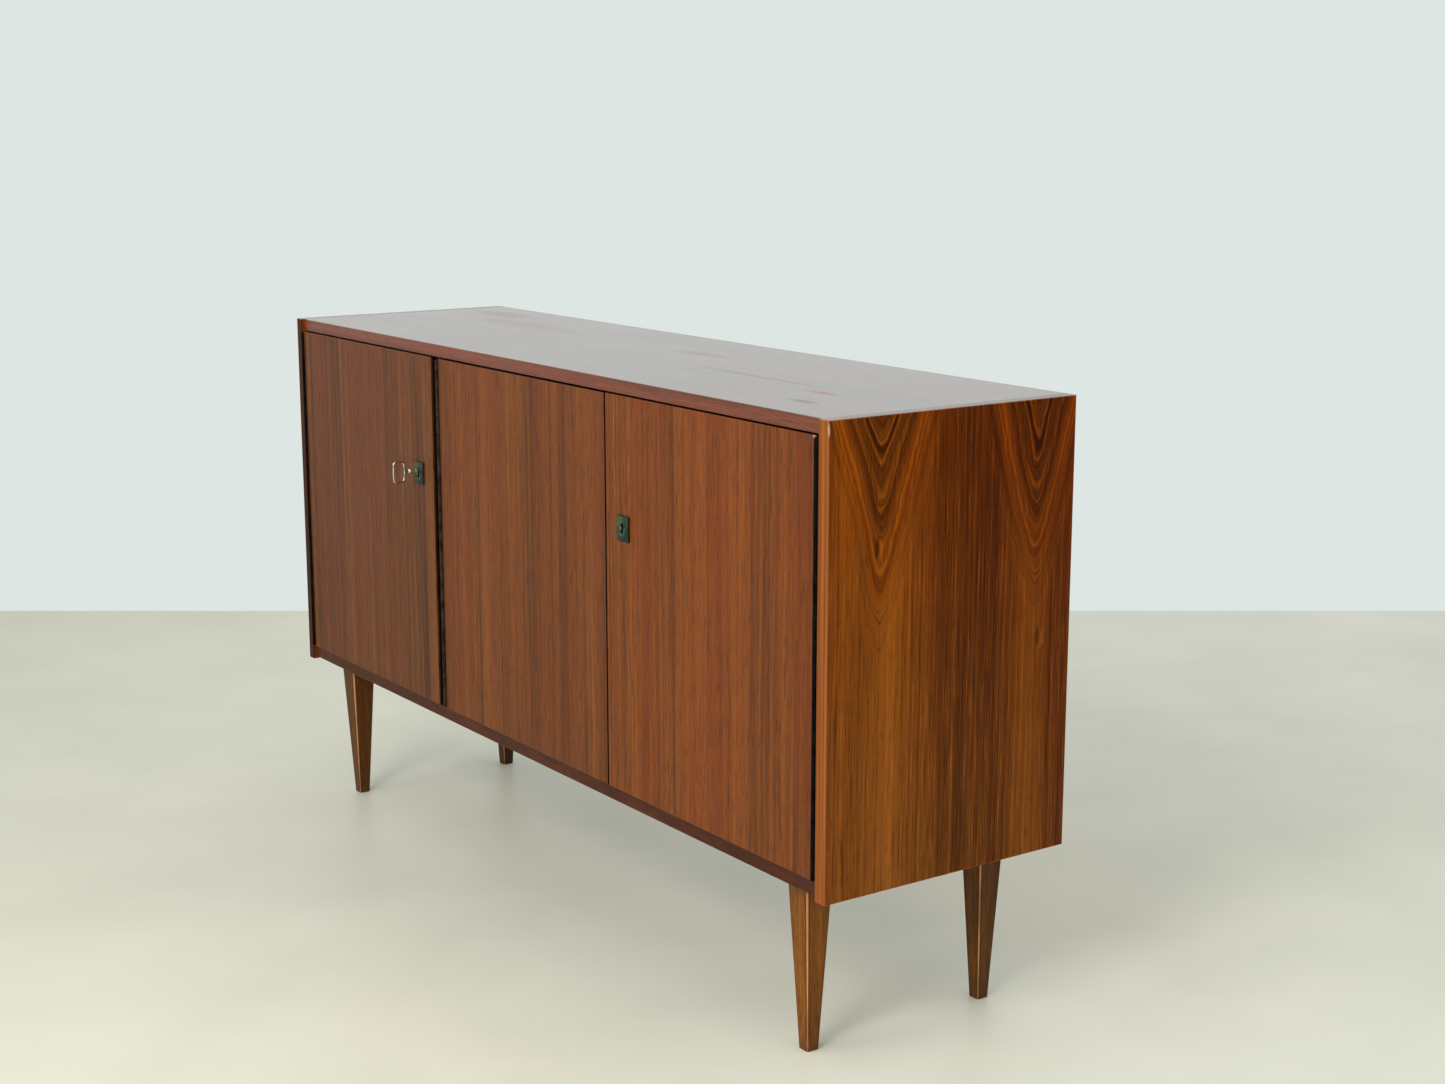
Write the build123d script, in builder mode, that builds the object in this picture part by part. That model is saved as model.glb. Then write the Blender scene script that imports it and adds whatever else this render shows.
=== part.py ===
from build123d import *
import os

# Sideboard buffet: three inset doors on continuous hinges, two cupboard locks, four tapered legs.
# Millimetres, +X along the length, -Y to the front, +Z up, origin under the middle on the floor.

# carcass
width = 1500.0
depth = 400.0
height = 838.0
leg_clear = 235.0  # floor to the lower edge of the sides
board = 19.0
setback = 5.0  # front edges of top, bottom and rails behind the sides' front edges
side_drop = 4.0  # how far the sides reach below the bottom board
back_t = 5.0
back_inset = 3.0  # back panel behind the boards' rear edges
rebate = 9.0
back_screw_r = 1.4
back_screw_head_r = 3.2
back_screw_head = 1.8
divider_t = 16.0
divider_setback = 8.0
arris = 1.5

# doors
door_t = 19.0
door_arris = 0.6
door_gap = 2.0  # above and below each door
meeting_gap = 3.5  # between the middle and right doors
meeting_x = 250.0  # free edge of the middle door
divider_x = -254.5  # left face of the divider

# continuous hinges
barrel_r = 3.5
barrel_gap = 3.9  # barrel centre to each wood face
leaf_t = 1.0
leaf_w = 22.0
leaf_gap = 0.5  # leaf plates behind the barrel
pin_r = 1.3
pin_play = 0.05
knuckles = 37
knuckle_gap = 0.4
hinge_inset = 2.0  # hinge ends inside the door's ends
hinge_screws = 9
screw_back = 15.0  # screw rows behind the front plane
screw_r = 1.5
screw_head_r = screw_r + leaf_t
screw_len = 13.0
slot_w = 0.7

# locks and key
backset = 45.0
key_z_left = 634.0
key_z_right = 640.6
plate_w = 31.0
plate_h = 35.5
plate_t = 2.6
plate_drop = 4.5  # plate centre below the key's axis
case_w = 58.0
case_up = 22.0
case_down = 14.0
case_wall = 1.5
case_front = 8.0  # wood left in front of the lock case
fore_t = 2.5
fore_w = 11.0
fore_h = 66.0
bolt_h = 13.0
bolt_t = 5.0
bolt_rise = 3.5  # bolt's lower edge above the key's axis
bolt_throw = 8.0
bolt_len = 40.0
bolt_inside = 2.5  # bolt behind the case's front wall
bolt_short = 0.5  # bolt's end inside the fore plate's face
lug_at = 4.0  # lug beyond the key's axis
lug_w = 3.0
lug_drop = 4.0  # lug's foot below the key's axis
opening_play = 0.75
opening_rise = 1.0
slide_play = 0.15
key_r = 2.5
key_reach = 47.5  # how far the key's bow stands in front of the doors
key_end = 17.0  # inner end of the key behind the doors' front
nail_r = 0.8
nail_dx = 12.5
bow_w = 22.0
bow_h = 35.5
bow_t = 3.4
bow_corner = 7.0
bit_r = 8.0
bit_t = 2.2
bit_w = 4.0
strike_t = 1.5
strike_back = 8.5  # strike plate behind the front plane
strike_w = 14.0
strike_h = 40.0
strike_screw_r = 1.2
strike_screw_head_r = 2.4
strike_screw_len = 10.0
strike_screw_dz = 14.0
keyhole_r = 3.5
keyhole_slot_w = 3.8
keyhole_foot_r = 3.0
keyhole_foot_z = 9.2
cover_t = 1.2
fore_screw_dz = 27.0
fore_screw_len = 14.0

# slide bolts on the middle door
rod_r = 3.0
rod_travel = 10.0
rod_len = 62.0
rod_stand = 6.5  # rod centre behind the door's back face
rod_inset = 26.0  # rod centre from the door's free edge
rod_hole_play = 0.5
rod_back = 2.0  # rod's end inside the door's end
holder_t = 2.0
holder_end = 4.0  # holder's end inside the door's end
guide_w = 10.0
guides_at = ((5.0, 14.0), (59.0, 68.0))  # the two guides, below the door's end
holder_screw_at = (22.0, 50.0)
holder_screw_dx = 8.0
holder_screw_head_r = 2.2
holder_w = 24.0
holder_len = 66.0
holder_screw_r = 1.2
holder_screw_len = 11.0
knob_at = 46.0  # knob below the door's end
knob_len = 6.0
knob_neck_r = 2.0
knob_r = 4.0
knob_cap = 3.5

# shelves
shelf_t = 16.0
shelf_z = 548.0
shelf_setback = 48.0
pin_rad = 2.5
pin_depth = 7.5
pin_len = 15.5
pin_front = 90.0
pin_back = 70.0
pin_pitch = 64.0
shelf_end_gap = 1.0
shelf_back_gap = 3.0

# legs
leg_top = 44.0
leg_foot = 19.5
leg_bevel = 3.6
foot_bevel = 2.5
foot_edge = 0.8
leg_x = 656.4  # leg centre from the middle
leg_front = 50.0  # leg centre from the front plane
leg_back = 57.5
stud_r = 4.0
insert_r = 6.0
insert_len = 15.0
stud_in_leg = 32.0
stud_short = 1.0  # stud's end inside the insert

# door stops
stop_len = 55.0
stop_w = 18.0
stop_at = 12.0  # stops in from the doors' free edges
stop_gap = 0.4

# dowels
dowel_r = 4.0
dowel_len = 28.0
dowel_deep = 17.0  # in the board's end grain
dowel_first = 45.0  # first dowel behind the front plane
dowel_pitch = 75.0
divider_dowel_first = 60.0
divider_dowel_pitch = 90.0

# planes worked out from the sizes above
half = width / 2
inner = half - board
front = (key_reach - depth) / 2
back = front + depth
panel_front = front + setback
bottom_z = leg_clear + side_drop
floor_z = bottom_z + board
roof_z = height - board
back_face = back - back_inset - back_t
door_z0 = floor_z + door_gap
door_z1 = roof_z - door_gap
door_back = front + door_t
divider_r = divider_x + divider_t

axis_left = -(inner - barrel_gap)
axis_middle = divider_r + barrel_gap
axis_right = inner - barrel_gap
left_x0 = axis_left + barrel_gap
left_x1 = divider_x - door_gap
middle_x0 = axis_middle + barrel_gap
middle_x1 = meeting_x
right_x0 = meeting_x + meeting_gap
right_x1 = axis_right - barrel_gap

hinge_z0 = door_z0 + hinge_inset
hinge_z1 = door_z1 - hinge_inset
knuckle_pitch = (hinge_z1 - hinge_z0) / knuckles
leaf_y0 = front + barrel_r + leaf_gap
leaf_y1 = front + leaf_w
screw_y = front + screw_back
screw_zs = [hinge_z0 + (i + 0.5) * (hinge_z1 - hinge_z0) / hinge_screws for i in range(hinge_screws)]

bolt_y0 = front + case_front + case_wall + bolt_inside
fore_y0 = front + case_front
bolt_opening_y = (bolt_y0 - opening_play, bolt_y0 + bolt_t + opening_play)
strike_y0 = front + strike_back
rod_y = door_back + rod_stand
rod_x = middle_x1 - rod_inset
holder_screw_zs = [end - up * at for end, up in ((door_z1, 1), (door_z0, -1)) for at in holder_screw_at]
dowel_ys = [front + dowel_first + i * dowel_pitch for i in range(5)]
dowel_zs = (bottom_z + board / 2, height - board / 2)
divider_dowel_ys = [front + divider_dowel_first + i * divider_dowel_pitch for i in range(4)]
shelf_pin_ys = [front + pin_front, back - pin_back]
shelf_pin_z = shelf_z - pin_rad
pin_hole_zs = [shelf_pin_z + step * pin_pitch for step in (-2, -1, 0, 1, 2)]
leg_places = {
    "leg_front_left": (-leg_x, front + leg_front),
    "leg_front_right": (leg_x, front + leg_front),
    "leg_back_left": (-leg_x, back - leg_back),
    "leg_back_right": (leg_x, back - leg_back),
}

corner = (Align.MIN, Align.MIN)


def block(x0, x1, y0, y1, z0, z1, mode=Mode.ADD):
    """A straight board between two corners, added to or cut from the part being built."""
    with BuildSketch(Plane.XY.offset(z0)) as outline:
        with Locations((x0, y0)):
            Rectangle(x1 - x0, y1 - y0, align=corner)
    extrude(outline.sketch, amount=z1 - z0, mode=mode)


def rod(plane, radius, length, points, mode=Mode.ADD):
    """Round bars of one length, standing on a plane at each point."""
    with BuildSketch(plane) as rounds:
        with Locations(*points):
            Circle(radius)
    extrude(rounds.sketch, amount=length, mode=mode)


def side_plane(x, toward):
    """A YZ plane at x whose normal points along +X or -X, with its local x along +Y or -Y."""
    return Plane(origin=(x, 0, 0), x_dir=(0, toward, 0), z_dir=(toward, 0, 0))


def front_plane(y, toward=1):
    """An XZ plane at y whose normal points along +Y or -Y and whose local y is up."""
    return Plane(origin=(0, y, 0), x_dir=(-toward, 0, 0), z_dir=(0, toward, 0))


def save(piece, name):
    piece.label = name
    export_step(piece, f"parts/{name}.step")


def screw(plane, length=screw_len, head_r=screw_head_r, shank_r=screw_r):
    """A countersunk slotted screw whose head is flush with the plane, pointing against its normal."""
    with BuildSketch(plane) as disc:
        Circle(head_r)
    extrude(disc.sketch, amount=-(head_r - shank_r), taper=45)
    rod(plane, shank_r, -length, [(0, 0)])
    with BuildSketch(plane) as cut:
        Rectangle(head_r * 1.8, slot_w)
    extrude(cut.sketch, amount=-slot_w, mode=Mode.SUBTRACT)


def countersink(plane, length=screw_len, head_r=screw_head_r, shank_r=screw_r):
    """The hole that a screw of the same sizes fills."""
    with BuildSketch(plane) as disc:
        Circle(head_r)
    extrude(disc.sketch, amount=-(head_r - shank_r), taper=45, mode=Mode.SUBTRACT)
    rod(plane, shank_r, -length, [(0, 0)], mode=Mode.SUBTRACT)


def strike_pocket(face_x, inward, key_z):
    """The let-in seat and mortise for a strike plate on a face at face_x, cut towards inward."""
    mid = key_z + bolt_rise + bolt_h / 2
    opening_z = (mid - bolt_h / 2 - opening_rise, mid + bolt_h / 2 + opening_rise)
    y_mid = bolt_y0 + bolt_t / 2
    seat = sorted((face_x, face_x + inward * strike_t))
    plate = (strike_y0, strike_y0 + strike_w, mid - strike_h / 2, mid + strike_h / 2)
    block(*seat, *plate, mode=Mode.SUBTRACT)
    mortise = sorted((face_x, face_x + inward * (bolt_throw + 1)))
    block(*mortise, *bolt_opening_y, *opening_z, mode=Mode.SUBTRACT)
    points = [(inward * y_mid, mid + shift * strike_screw_dz) for shift in (-1, 1)]
    rod(side_plane(face_x, inward), strike_screw_r, strike_screw_len, points, mode=Mode.SUBTRACT)


def keyhole(y, length, key_x, key_z):
    """Cuts a keyhole from y towards the back: a round head, a narrow waist and a round foot."""
    with BuildSketch(front_plane(y)) as hole:
        with Locations((-key_x, key_z)):
            Circle(keyhole_r)
        with Locations((-key_x, key_z - keyhole_foot_z / 2)):
            Rectangle(keyhole_slot_w, keyhole_foot_z)
        with Locations((-key_x, key_z - keyhole_foot_z)):
            Circle(keyhole_foot_r)
    extrude(hole.sketch, amount=length, mode=Mode.SUBTRACT)


def fore_plane(edge_x, toward, z):
    """The outer face of a lock's fore plate at height z, its normal pointing out of the door."""
    return Plane(origin=(edge_x, fore_y0 + fore_w / 2, z), x_dir=(0, 1, 0), z_dir=(toward, 0, 0))


def lock_pocket(edge_x, toward, key_z):
    """The pocket behind a door's free edge that a cut-in lock fills, with its keyhole."""
    body = sorted((edge_x, edge_x - toward * case_w))
    block(*body, fore_y0, door_back, key_z - case_down, key_z + case_up, mode=Mode.SUBTRACT)
    lip = sorted((edge_x, edge_x - toward * fore_t))
    mid = key_z + (case_up - case_down) / 2
    block(*lip, fore_y0, door_back, mid - fore_h / 2, mid + fore_h / 2, mode=Mode.SUBTRACT)
    keyhole(front, case_front, edge_x - toward * backset, key_z)
    for shift in (-fore_screw_dz, fore_screw_dz):
        rod(fore_plane(edge_x, toward, mid + shift), screw_r, -fore_screw_len, [(0, 0)], mode=Mode.SUBTRACT)


def hinge_holes(x, toward):
    """Pilot holes for a row of hinge screws, from a face at x."""
    holes = [(toward * screw_y, z) for z in screw_zs]
    rod(side_plane(x, toward), screw_r, screw_len - leaf_t, holes, mode=Mode.SUBTRACT)


os.makedirs("parts", exist_ok=True)

# ---- side panels ----
for name, sign in (("side_left", -1), ("side_right", 1)):
    with BuildPart() as side:
        block(*sorted((sign * inner, sign * half)), front, back, leg_clear, height)
        outer = side.edges().filter_by(Axis.Z).group_by(Axis.Y)[0].sort_by(Axis.X)[0 if sign < 0 else -1]
        fillet(outer, radius=arris)
        groove = sorted((sign * inner, sign * (inner + rebate)))
        block(*groove, back_face, back, floor_z - rebate, roof_z + rebate, mode=Mode.SUBTRACT)
        faces_in = side_plane(sign * inner, sign)
        dowel_points = [(sign * y, z) for y in dowel_ys for z in dowel_zs]
        rod(faces_in, dowel_r, dowel_len - dowel_deep, dowel_points, mode=Mode.SUBTRACT)
        pin_points = [(sign * y, z) for y in shelf_pin_ys for z in pin_hole_zs]
        rod(faces_in, pin_rad, pin_depth, pin_points, mode=Mode.SUBTRACT)
        hinge_holes(sign * inner, sign)
    save(side.part, name)

# ---- top board ----
with BuildPart() as top_panel:
    block(-inner, inner, panel_front, back, roof_z, height)
    block(-inner, inner, back_face, back, roof_z, roof_z + rebate, mode=Mode.SUBTRACT)
    for sign in (-1, 1):
        ends = side_plane(sign * inner, -sign)
        end_points = [(-sign * y, height - board / 2) for y in dowel_ys]
        rod(ends, dowel_r, dowel_deep, end_points, mode=Mode.SUBTRACT)
    underside = Plane.XY.offset(roof_z)
    divider_points = [(divider_x + divider_t / 2, y) for y in divider_dowel_ys]
    rod(underside, dowel_r, dowel_len - dowel_deep, divider_points, mode=Mode.SUBTRACT)
    rod(underside, rod_r + rod_hole_play, rod_travel, [(rod_x, rod_y)], mode=Mode.SUBTRACT)
save(top_panel.part, "top_panel")

# ---- bottom board ----
with BuildPart() as bottom_panel:
    block(-inner, inner, panel_front, back, bottom_z, floor_z)
    block(-inner, inner, back_face, back, floor_z - rebate, floor_z, mode=Mode.SUBTRACT)
    for sign in (-1, 1):
        ends = side_plane(sign * inner, -sign)
        end_points = [(-sign * y, bottom_z + board / 2) for y in dowel_ys]
        rod(ends, dowel_r, dowel_deep, end_points, mode=Mode.SUBTRACT)
    rod(Plane.XY.offset(floor_z), dowel_r, -(dowel_len - dowel_deep), divider_points, mode=Mode.SUBTRACT)
    rod(Plane.XY.offset(floor_z), rod_r + rod_hole_play, -rod_travel, [(rod_x, rod_y)], mode=Mode.SUBTRACT)
    rod(Plane.XY.offset(bottom_z), insert_r, insert_len, list(leg_places.values()), mode=Mode.SUBTRACT)
save(bottom_panel.part, "bottom_panel")

# ---- divider ----
with BuildPart() as divider:
    block(divider_x, divider_r, front + divider_setback, back_face, floor_z, roof_z)
    rod(Plane.XY.offset(floor_z), dowel_r, dowel_deep, divider_points, mode=Mode.SUBTRACT)
    rod(Plane.XY.offset(roof_z), dowel_r, -dowel_deep, divider_points, mode=Mode.SUBTRACT)
    for x, toward in ((divider_x, 1), (divider_r, -1)):
        pin_points = [(toward * y, z) for y in shelf_pin_ys for z in pin_hole_zs]
        rod(side_plane(x, toward), pin_rad, pin_depth, pin_points, mode=Mode.SUBTRACT)
    hinge_holes(divider_r, -1)
    strike_pocket(divider_x, 1, key_z_left)
save(divider.part, "divider")

# ---- back panel and its screws ----
back_screw_xs = [-inner - rebate / 2 + i * (2 * inner + rebate) / 10 for i in range(11)]
back_screw_zs = [floor_z - rebate / 2 + i * (roof_z - floor_z + rebate) / 4 for i in range(5)]
rim_points = [(x, z) for x in back_screw_xs for z in (back_screw_zs[0], back_screw_zs[-1])]
rim_points += [(x, z) for x in (back_screw_xs[0], back_screw_xs[-1]) for z in back_screw_zs[1:-1]]
rim_points += [(divider_x + divider_t / 2, z) for z in back_screw_zs[1:-1]]
rear_face = back_face + back_t
with BuildPart() as back_panel:
    block(-inner - rebate, inner + rebate, back_face, rear_face, floor_z - rebate, roof_z + rebate)
    rod(front_plane(rear_face, -1), back_screw_r, back_t, rim_points, mode=Mode.SUBTRACT)
save(back_panel.part, "back_panel")

with BuildPart() as back_screws:
    for x, z in rim_points:
        with BuildSketch(Plane(origin=(x, rear_face, z), x_dir=(1, 0, 0), z_dir=(0, 1, 0))) as head:
            Circle(back_screw_head_r)
        extrude(head.sketch, amount=back_screw_head, taper=35)
        shank = Plane(origin=(x, rear_face, z), x_dir=(1, 0, 0), z_dir=(0, -1, 0))
        rod(shank, back_screw_r, back_t, [(0, 0)])
        with BuildSketch(shank.offset(-back_screw_head)) as cut:
            Rectangle(back_screw_head_r * 1.4, slot_w)
        extrude(cut.sketch, amount=slot_w, mode=Mode.SUBTRACT)
save(back_screws.part, "back_screws")

# ---- dowels between the boards ----
with BuildPart() as dowels:
    for sign in (-1, 1):
        ends = side_plane(sign * (inner + dowel_len - dowel_deep), -sign)
        dowel_points = [(-sign * y, z) for y in dowel_ys for z in dowel_zs]
        rod(ends, dowel_r, dowel_len, dowel_points)
    rod(Plane.XY.offset(floor_z - (dowel_len - dowel_deep)), dowel_r, dowel_len, divider_points)
    rod(Plane.XY.offset(roof_z - dowel_deep), dowel_r, dowel_len, divider_points)
save(dowels.part, "dowels")

# ---- shelves on their pins ----
for name, x0, x1 in (("left", -inner, divider_x), ("right", divider_r, inner)):
    with BuildPart() as shelf:
        deep = (front + shelf_setback, back_face - shelf_back_gap)
        block(x0 + shelf_end_gap, x1 - shelf_end_gap, *deep, shelf_z, shelf_z + shelf_t)
        nose = shelf.edges().filter_by(Axis.X).group_by(Axis.Y)[0]
        fillet(nose, radius=arris)
    save(shelf.part, f"shelf_{name}")
    with BuildPart() as pins:
        for x, toward in ((x0 - pin_depth, 1), (x1 + pin_depth, -1)):
            points = [(toward * y, shelf_pin_z) for y in shelf_pin_ys]
            rod(side_plane(x, toward), pin_rad, pin_len, points)
    save(pins.part, f"shelf_pins_{name}")

# ---- stops under the top board, behind the doors' free edges ----
stop_xs = (left_x1 - stop_len - stop_at, meeting_x - 2 * stop_len - stop_at, right_x0 + stop_at)
stop_y = door_back + stop_gap
with BuildPart() as door_stops:
    for x in stop_xs:
        block(x, x + stop_len, stop_y, stop_y + stop_w, roof_z - stop_w, roof_z)
save(door_stops.part, "door_stops")

# ---- legs, their studs and the threaded inserts ----
for name, place in leg_places.items():
    with BuildPart() as leg:
        with BuildSketch(Plane(origin=(*place, 0))) as foot:
            Rectangle(leg_foot, leg_foot)
            chamfer(foot.vertices(), foot_bevel)
        with BuildSketch(Plane(origin=(*place, bottom_z))) as head:
            Rectangle(leg_top, leg_top)
            chamfer(head.vertices(), leg_bevel)
        loft([foot.sketch, head.sketch], ruled=True)
        chamfer(leg.faces().sort_by(Axis.Z)[0].edges(), foot_edge)
        rod(Plane.XY.offset(bottom_z), stud_r, -stud_in_leg, [place], mode=Mode.SUBTRACT)
    save(leg.part, name)

with BuildPart() as leg_studs:
    studs = Plane.XY.offset(bottom_z - stud_in_leg)
    rod(studs, stud_r, stud_in_leg + insert_len - stud_short, list(leg_places.values()))
save(leg_studs.part, "leg_studs")

with BuildPart() as leg_inserts:
    rod(Plane.XY.offset(bottom_z), insert_r, insert_len, list(leg_places.values()))
    rod(Plane.XY.offset(bottom_z), stud_r, insert_len, list(leg_places.values()), mode=Mode.SUBTRACT)
save(leg_inserts.part, "leg_inserts")

# ---- continuous hinges: two knuckled leaves, a pin and a row of screws in each leaf ----
hinges = (("left", axis_left, -1), ("middle", axis_middle, -1), ("right", axis_right, 1))
for name, axis_x, fixed_side in hinges:
    for kind, side, first in (("fixed", fixed_side, 0), ("door", -fixed_side, 1)):
        near = axis_x + side * (barrel_gap - leaf_t)
        far = axis_x + side * barrel_gap
        lows = [hinge_z0 + i * knuckle_pitch + knuckle_gap / 2 for i in range(first, knuckles, 2)]
        with BuildPart() as leaf:
            block(min(near, far), max(near, far), leaf_y0, leaf_y1, hinge_z0, hinge_z1)
            with BuildSketch(*[Plane.XY.offset(z) for z in lows]) as knuckle:
                with Locations((axis_x, front)):
                    Circle(barrel_r)
                with Locations((min(near, far), front)):
                    Rectangle(leaf_t, leaf_y0 - front, align=corner)
                with Locations((axis_x, front)):
                    Circle(pin_r + pin_play, mode=Mode.SUBTRACT)
            extrude(knuckle.sketch, amount=knuckle_pitch - knuckle_gap)
            for z in screw_zs:
                countersink(Plane(origin=(near, screw_y, z), x_dir=(0, 1, 0), z_dir=(-side, 0, 0)))
        save(leaf.part, f"hinge_{name}_{kind}_leaf")
        with BuildPart() as screws:
            for z in screw_zs:
                screw(Plane(origin=(near, screw_y, z), x_dir=(0, 1, 0), z_dir=(-side, 0, 0)))
        save(screws.part, f"hinge_{name}_{kind}_screws")
    with BuildPart() as pin:
        rod(Plane.XY.offset(hinge_z0), pin_r, hinge_z1 - hinge_z0, [(axis_x, front)])
    save(pin.part, f"hinge_{name}_pin")

# ---- doors ----
with BuildPart() as door_left:
    block(left_x0, left_x1, front, door_back, door_z0, door_z1)
    chamfer(door_left.faces().sort_by(Axis.Y)[0].edges(), door_arris)
    hinge_holes(left_x0, 1)
    lock_pocket(left_x1, 1, key_z_left)
save(door_left.part, "door_left")

holder_screws = [(rod_x + dx, z) for dx in (-holder_screw_dx, holder_screw_dx) for z in holder_screw_zs]
with BuildPart() as door_middle:
    block(middle_x0, middle_x1, front, door_back, door_z0, door_z1)
    chamfer(door_middle.faces().sort_by(Axis.Y)[0].edges(), door_arris)
    hinge_holes(middle_x0, 1)
    strike_pocket(middle_x1, -1, key_z_right)
    rear = Plane(origin=(0, door_back, 0), x_dir=(1, 0, 0), z_dir=(0, -1, 0))
    rod(rear, holder_screw_r, holder_screw_len - holder_t, holder_screws, mode=Mode.SUBTRACT)
save(door_middle.part, "door_middle")

with BuildPart() as door_right:
    block(right_x0, right_x1, front, door_back, door_z0, door_z1)
    chamfer(door_right.faces().sort_by(Axis.Y)[0].edges(), door_arris)
    hinge_holes(right_x1, -1)
    lock_pocket(right_x0, -1, key_z_right)
save(door_right.part, "door_right")

# ---- cut-in locks: case with fore plate, cover, bolt, screws and the plate round the keyhole ----
locks = (("left", left_x1, 1, key_z_left), ("right", right_x0, -1, key_z_right))
for name, edge_x, toward, key_z in locks:
    key_x = edge_x - toward * backset
    low, high = key_z - case_down, key_z + case_up
    mid = (low + high) / 2
    deep = edge_x - toward * case_w
    with BuildPart() as case:
        block(*sorted((edge_x, deep)), fore_y0, door_back - cover_t, low, high)
        lip = sorted((edge_x, edge_x - toward * fore_t))
        block(*lip, fore_y0, door_back, mid - fore_h / 2, mid + fore_h / 2)
        hollow = sorted((edge_x - toward * fore_t, deep + toward * case_wall))
        cavity = (fore_y0 + case_wall, door_back - cover_t, low + case_wall, high - case_wall)
        block(*hollow, *cavity, mode=Mode.SUBTRACT)
        slot_y = (bolt_y0 - slide_play, bolt_y0 + bolt_t + slide_play)
        slot_z = (key_z + bolt_rise - slide_play, key_z + bolt_rise + bolt_h + slide_play)
        block(*lip, *slot_y, *slot_z, mode=Mode.SUBTRACT)
        keyhole(fore_y0, case_wall, key_x, key_z)
        for shift in (-fore_screw_dz, fore_screw_dz):
            countersink(fore_plane(edge_x, toward, mid + shift), length=fore_screw_len)
    save(case.part, f"lock_{name}_case")

    with BuildPart() as cover:
        inside = sorted((edge_x - toward * fore_t, deep))
        block(*inside, door_back - cover_t, door_back, low, high)
    save(cover.part, f"lock_{name}_cover")

    with BuildPart() as bolt:
        nose = edge_x - toward * bolt_short
        span = sorted((nose, nose - toward * bolt_len))
        block(*span, bolt_y0, bolt_y0 + bolt_t, key_z + bolt_rise, key_z + bolt_rise + bolt_h)
        lug = sorted((key_x + toward * lug_at, key_x + toward * (lug_at + lug_w)))
        block(*lug, bolt_y0, bolt_y0 + bolt_t, key_z - lug_drop, key_z + bolt_rise)
        tip = bolt.edges().filter_by(Axis.Z).group_by(Axis.X)[-1 if toward > 0 else 0]
        fillet(tip, radius=0.8)
    save(bolt.part, f"lock_{name}_bolt")

    with BuildPart() as fore_screws:
        for shift in (-fore_screw_dz, fore_screw_dz):
            screw(fore_plane(edge_x, toward, mid + shift), length=fore_screw_len)
    save(fore_screws.part, f"lock_{name}_screws")

    plate_z = key_z - plate_drop
    nails = [(-key_x + dx, plate_z) for dx in (-nail_dx, nail_dx)]
    with BuildPart() as key_plate:
        with BuildSketch(front_plane(front - plate_t)) as outline:
            with Locations((-key_x, plate_z)):
                RectangleRounded(plate_w, plate_h, 2.5)
        extrude(outline.sketch, amount=plate_t)
        chamfer(key_plate.faces().sort_by(Axis.Y)[0].edges(), 0.7)
        keyhole(front - plate_t, plate_t, key_x, key_z)
        rod(front_plane(front - plate_t), nail_r, plate_t, nails, mode=Mode.SUBTRACT)
    save(key_plate.part, f"key_plate_{name}")

    with BuildPart() as plate_nails:
        rod(front_plane(front - plate_t), nail_r, plate_t, nails)
        for x, z in nails:
            crown = Plane(origin=(-x, front - plate_t, z), x_dir=(1, 0, 0), z_dir=(0, -1, 0))
            with BuildSketch(crown) as dome:
                Circle(nail_r * 1.8)
            extrude(dome.sketch, amount=0.8, taper=30)
    save(plate_nails.part, f"key_plate_{name}_nails")

# ---- key ----
key_x = left_x1 - backset
bow_y = front - key_reach + bow_w / 2
bow_plane = Plane(origin=(key_x - bow_t / 2, bow_y, key_z_left), x_dir=(0, 1, 0), z_dir=(1, 0, 0))
stem_plane = Plane(origin=(key_x, front, key_z_left), x_dir=(1, 0, 0), z_dir=(0, 0, 1))
stem = [(0, -26.5), (2.4, -26.5), (2.4, -21.5), (3.4, -20.4), (4.2, -18.6), (4.2, -14.6), (3.4, -12.8)]
stem += [(key_r, -12.2), (key_r, key_end), (0, key_end)]
with BuildPart() as key:
    with BuildSketch(bow_plane) as bow:
        RectangleRounded(bow_w, bow_h, bow_corner)
        RectangleRounded(bow_w - 2 * bow_t, bow_h - 2 * bow_t, bow_corner - bow_t, mode=Mode.SUBTRACT)
    extrude(amount=bow_t)
    fillet(key.edges(), radius=1.1)
    with BuildSketch(stem_plane) as turned:
        with BuildLine():
            Polyline(*stem, close=True)
        make_face()
    revolve(axis=Axis((key_x, front, key_z_left), (0, 1, 0)))
    bit_y = bolt_y0 + (bolt_t - bit_w) / 2
    block(key_x - bit_t / 2, key_x + bit_t / 2, bit_y, bit_y + bit_w, key_z_left - bit_r, key_z_left - 1)
save(key.part, "key")

# ---- strike plates and their screws ----
strikes = (("left", divider_x, 1, key_z_left), ("right", middle_x1, -1, key_z_right))
for name, face_x, inward, key_z in strikes:
    mid = key_z + bolt_rise + bolt_h / 2
    opening_z = (mid - bolt_h / 2 - opening_rise, mid + bolt_h / 2 + opening_rise)
    y_mid = bolt_y0 + bolt_t / 2
    seats = [
        Plane(origin=(face_x, y_mid, mid + shift), x_dir=(0, 1, 0), z_dir=(-inward, 0, 0))
        for shift in (-strike_screw_dz, strike_screw_dz)
    ]
    sizes = dict(length=strike_screw_len, head_r=strike_screw_head_r, shank_r=strike_screw_r)
    with BuildPart() as strike:
        plate = sorted((face_x, face_x + inward * strike_t))
        block(*plate, strike_y0, strike_y0 + strike_w, mid - strike_h / 2, mid + strike_h / 2)
        block(*plate, *bolt_opening_y, *opening_z, mode=Mode.SUBTRACT)
        for seat in seats:
            countersink(seat, **sizes)
    save(strike.part, f"strike_{name}")
    with BuildPart() as strike_screws:
        for seat in seats:
            screw(seat, **sizes)
    save(strike_screws.part, f"strike_{name}_screws")

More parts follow.
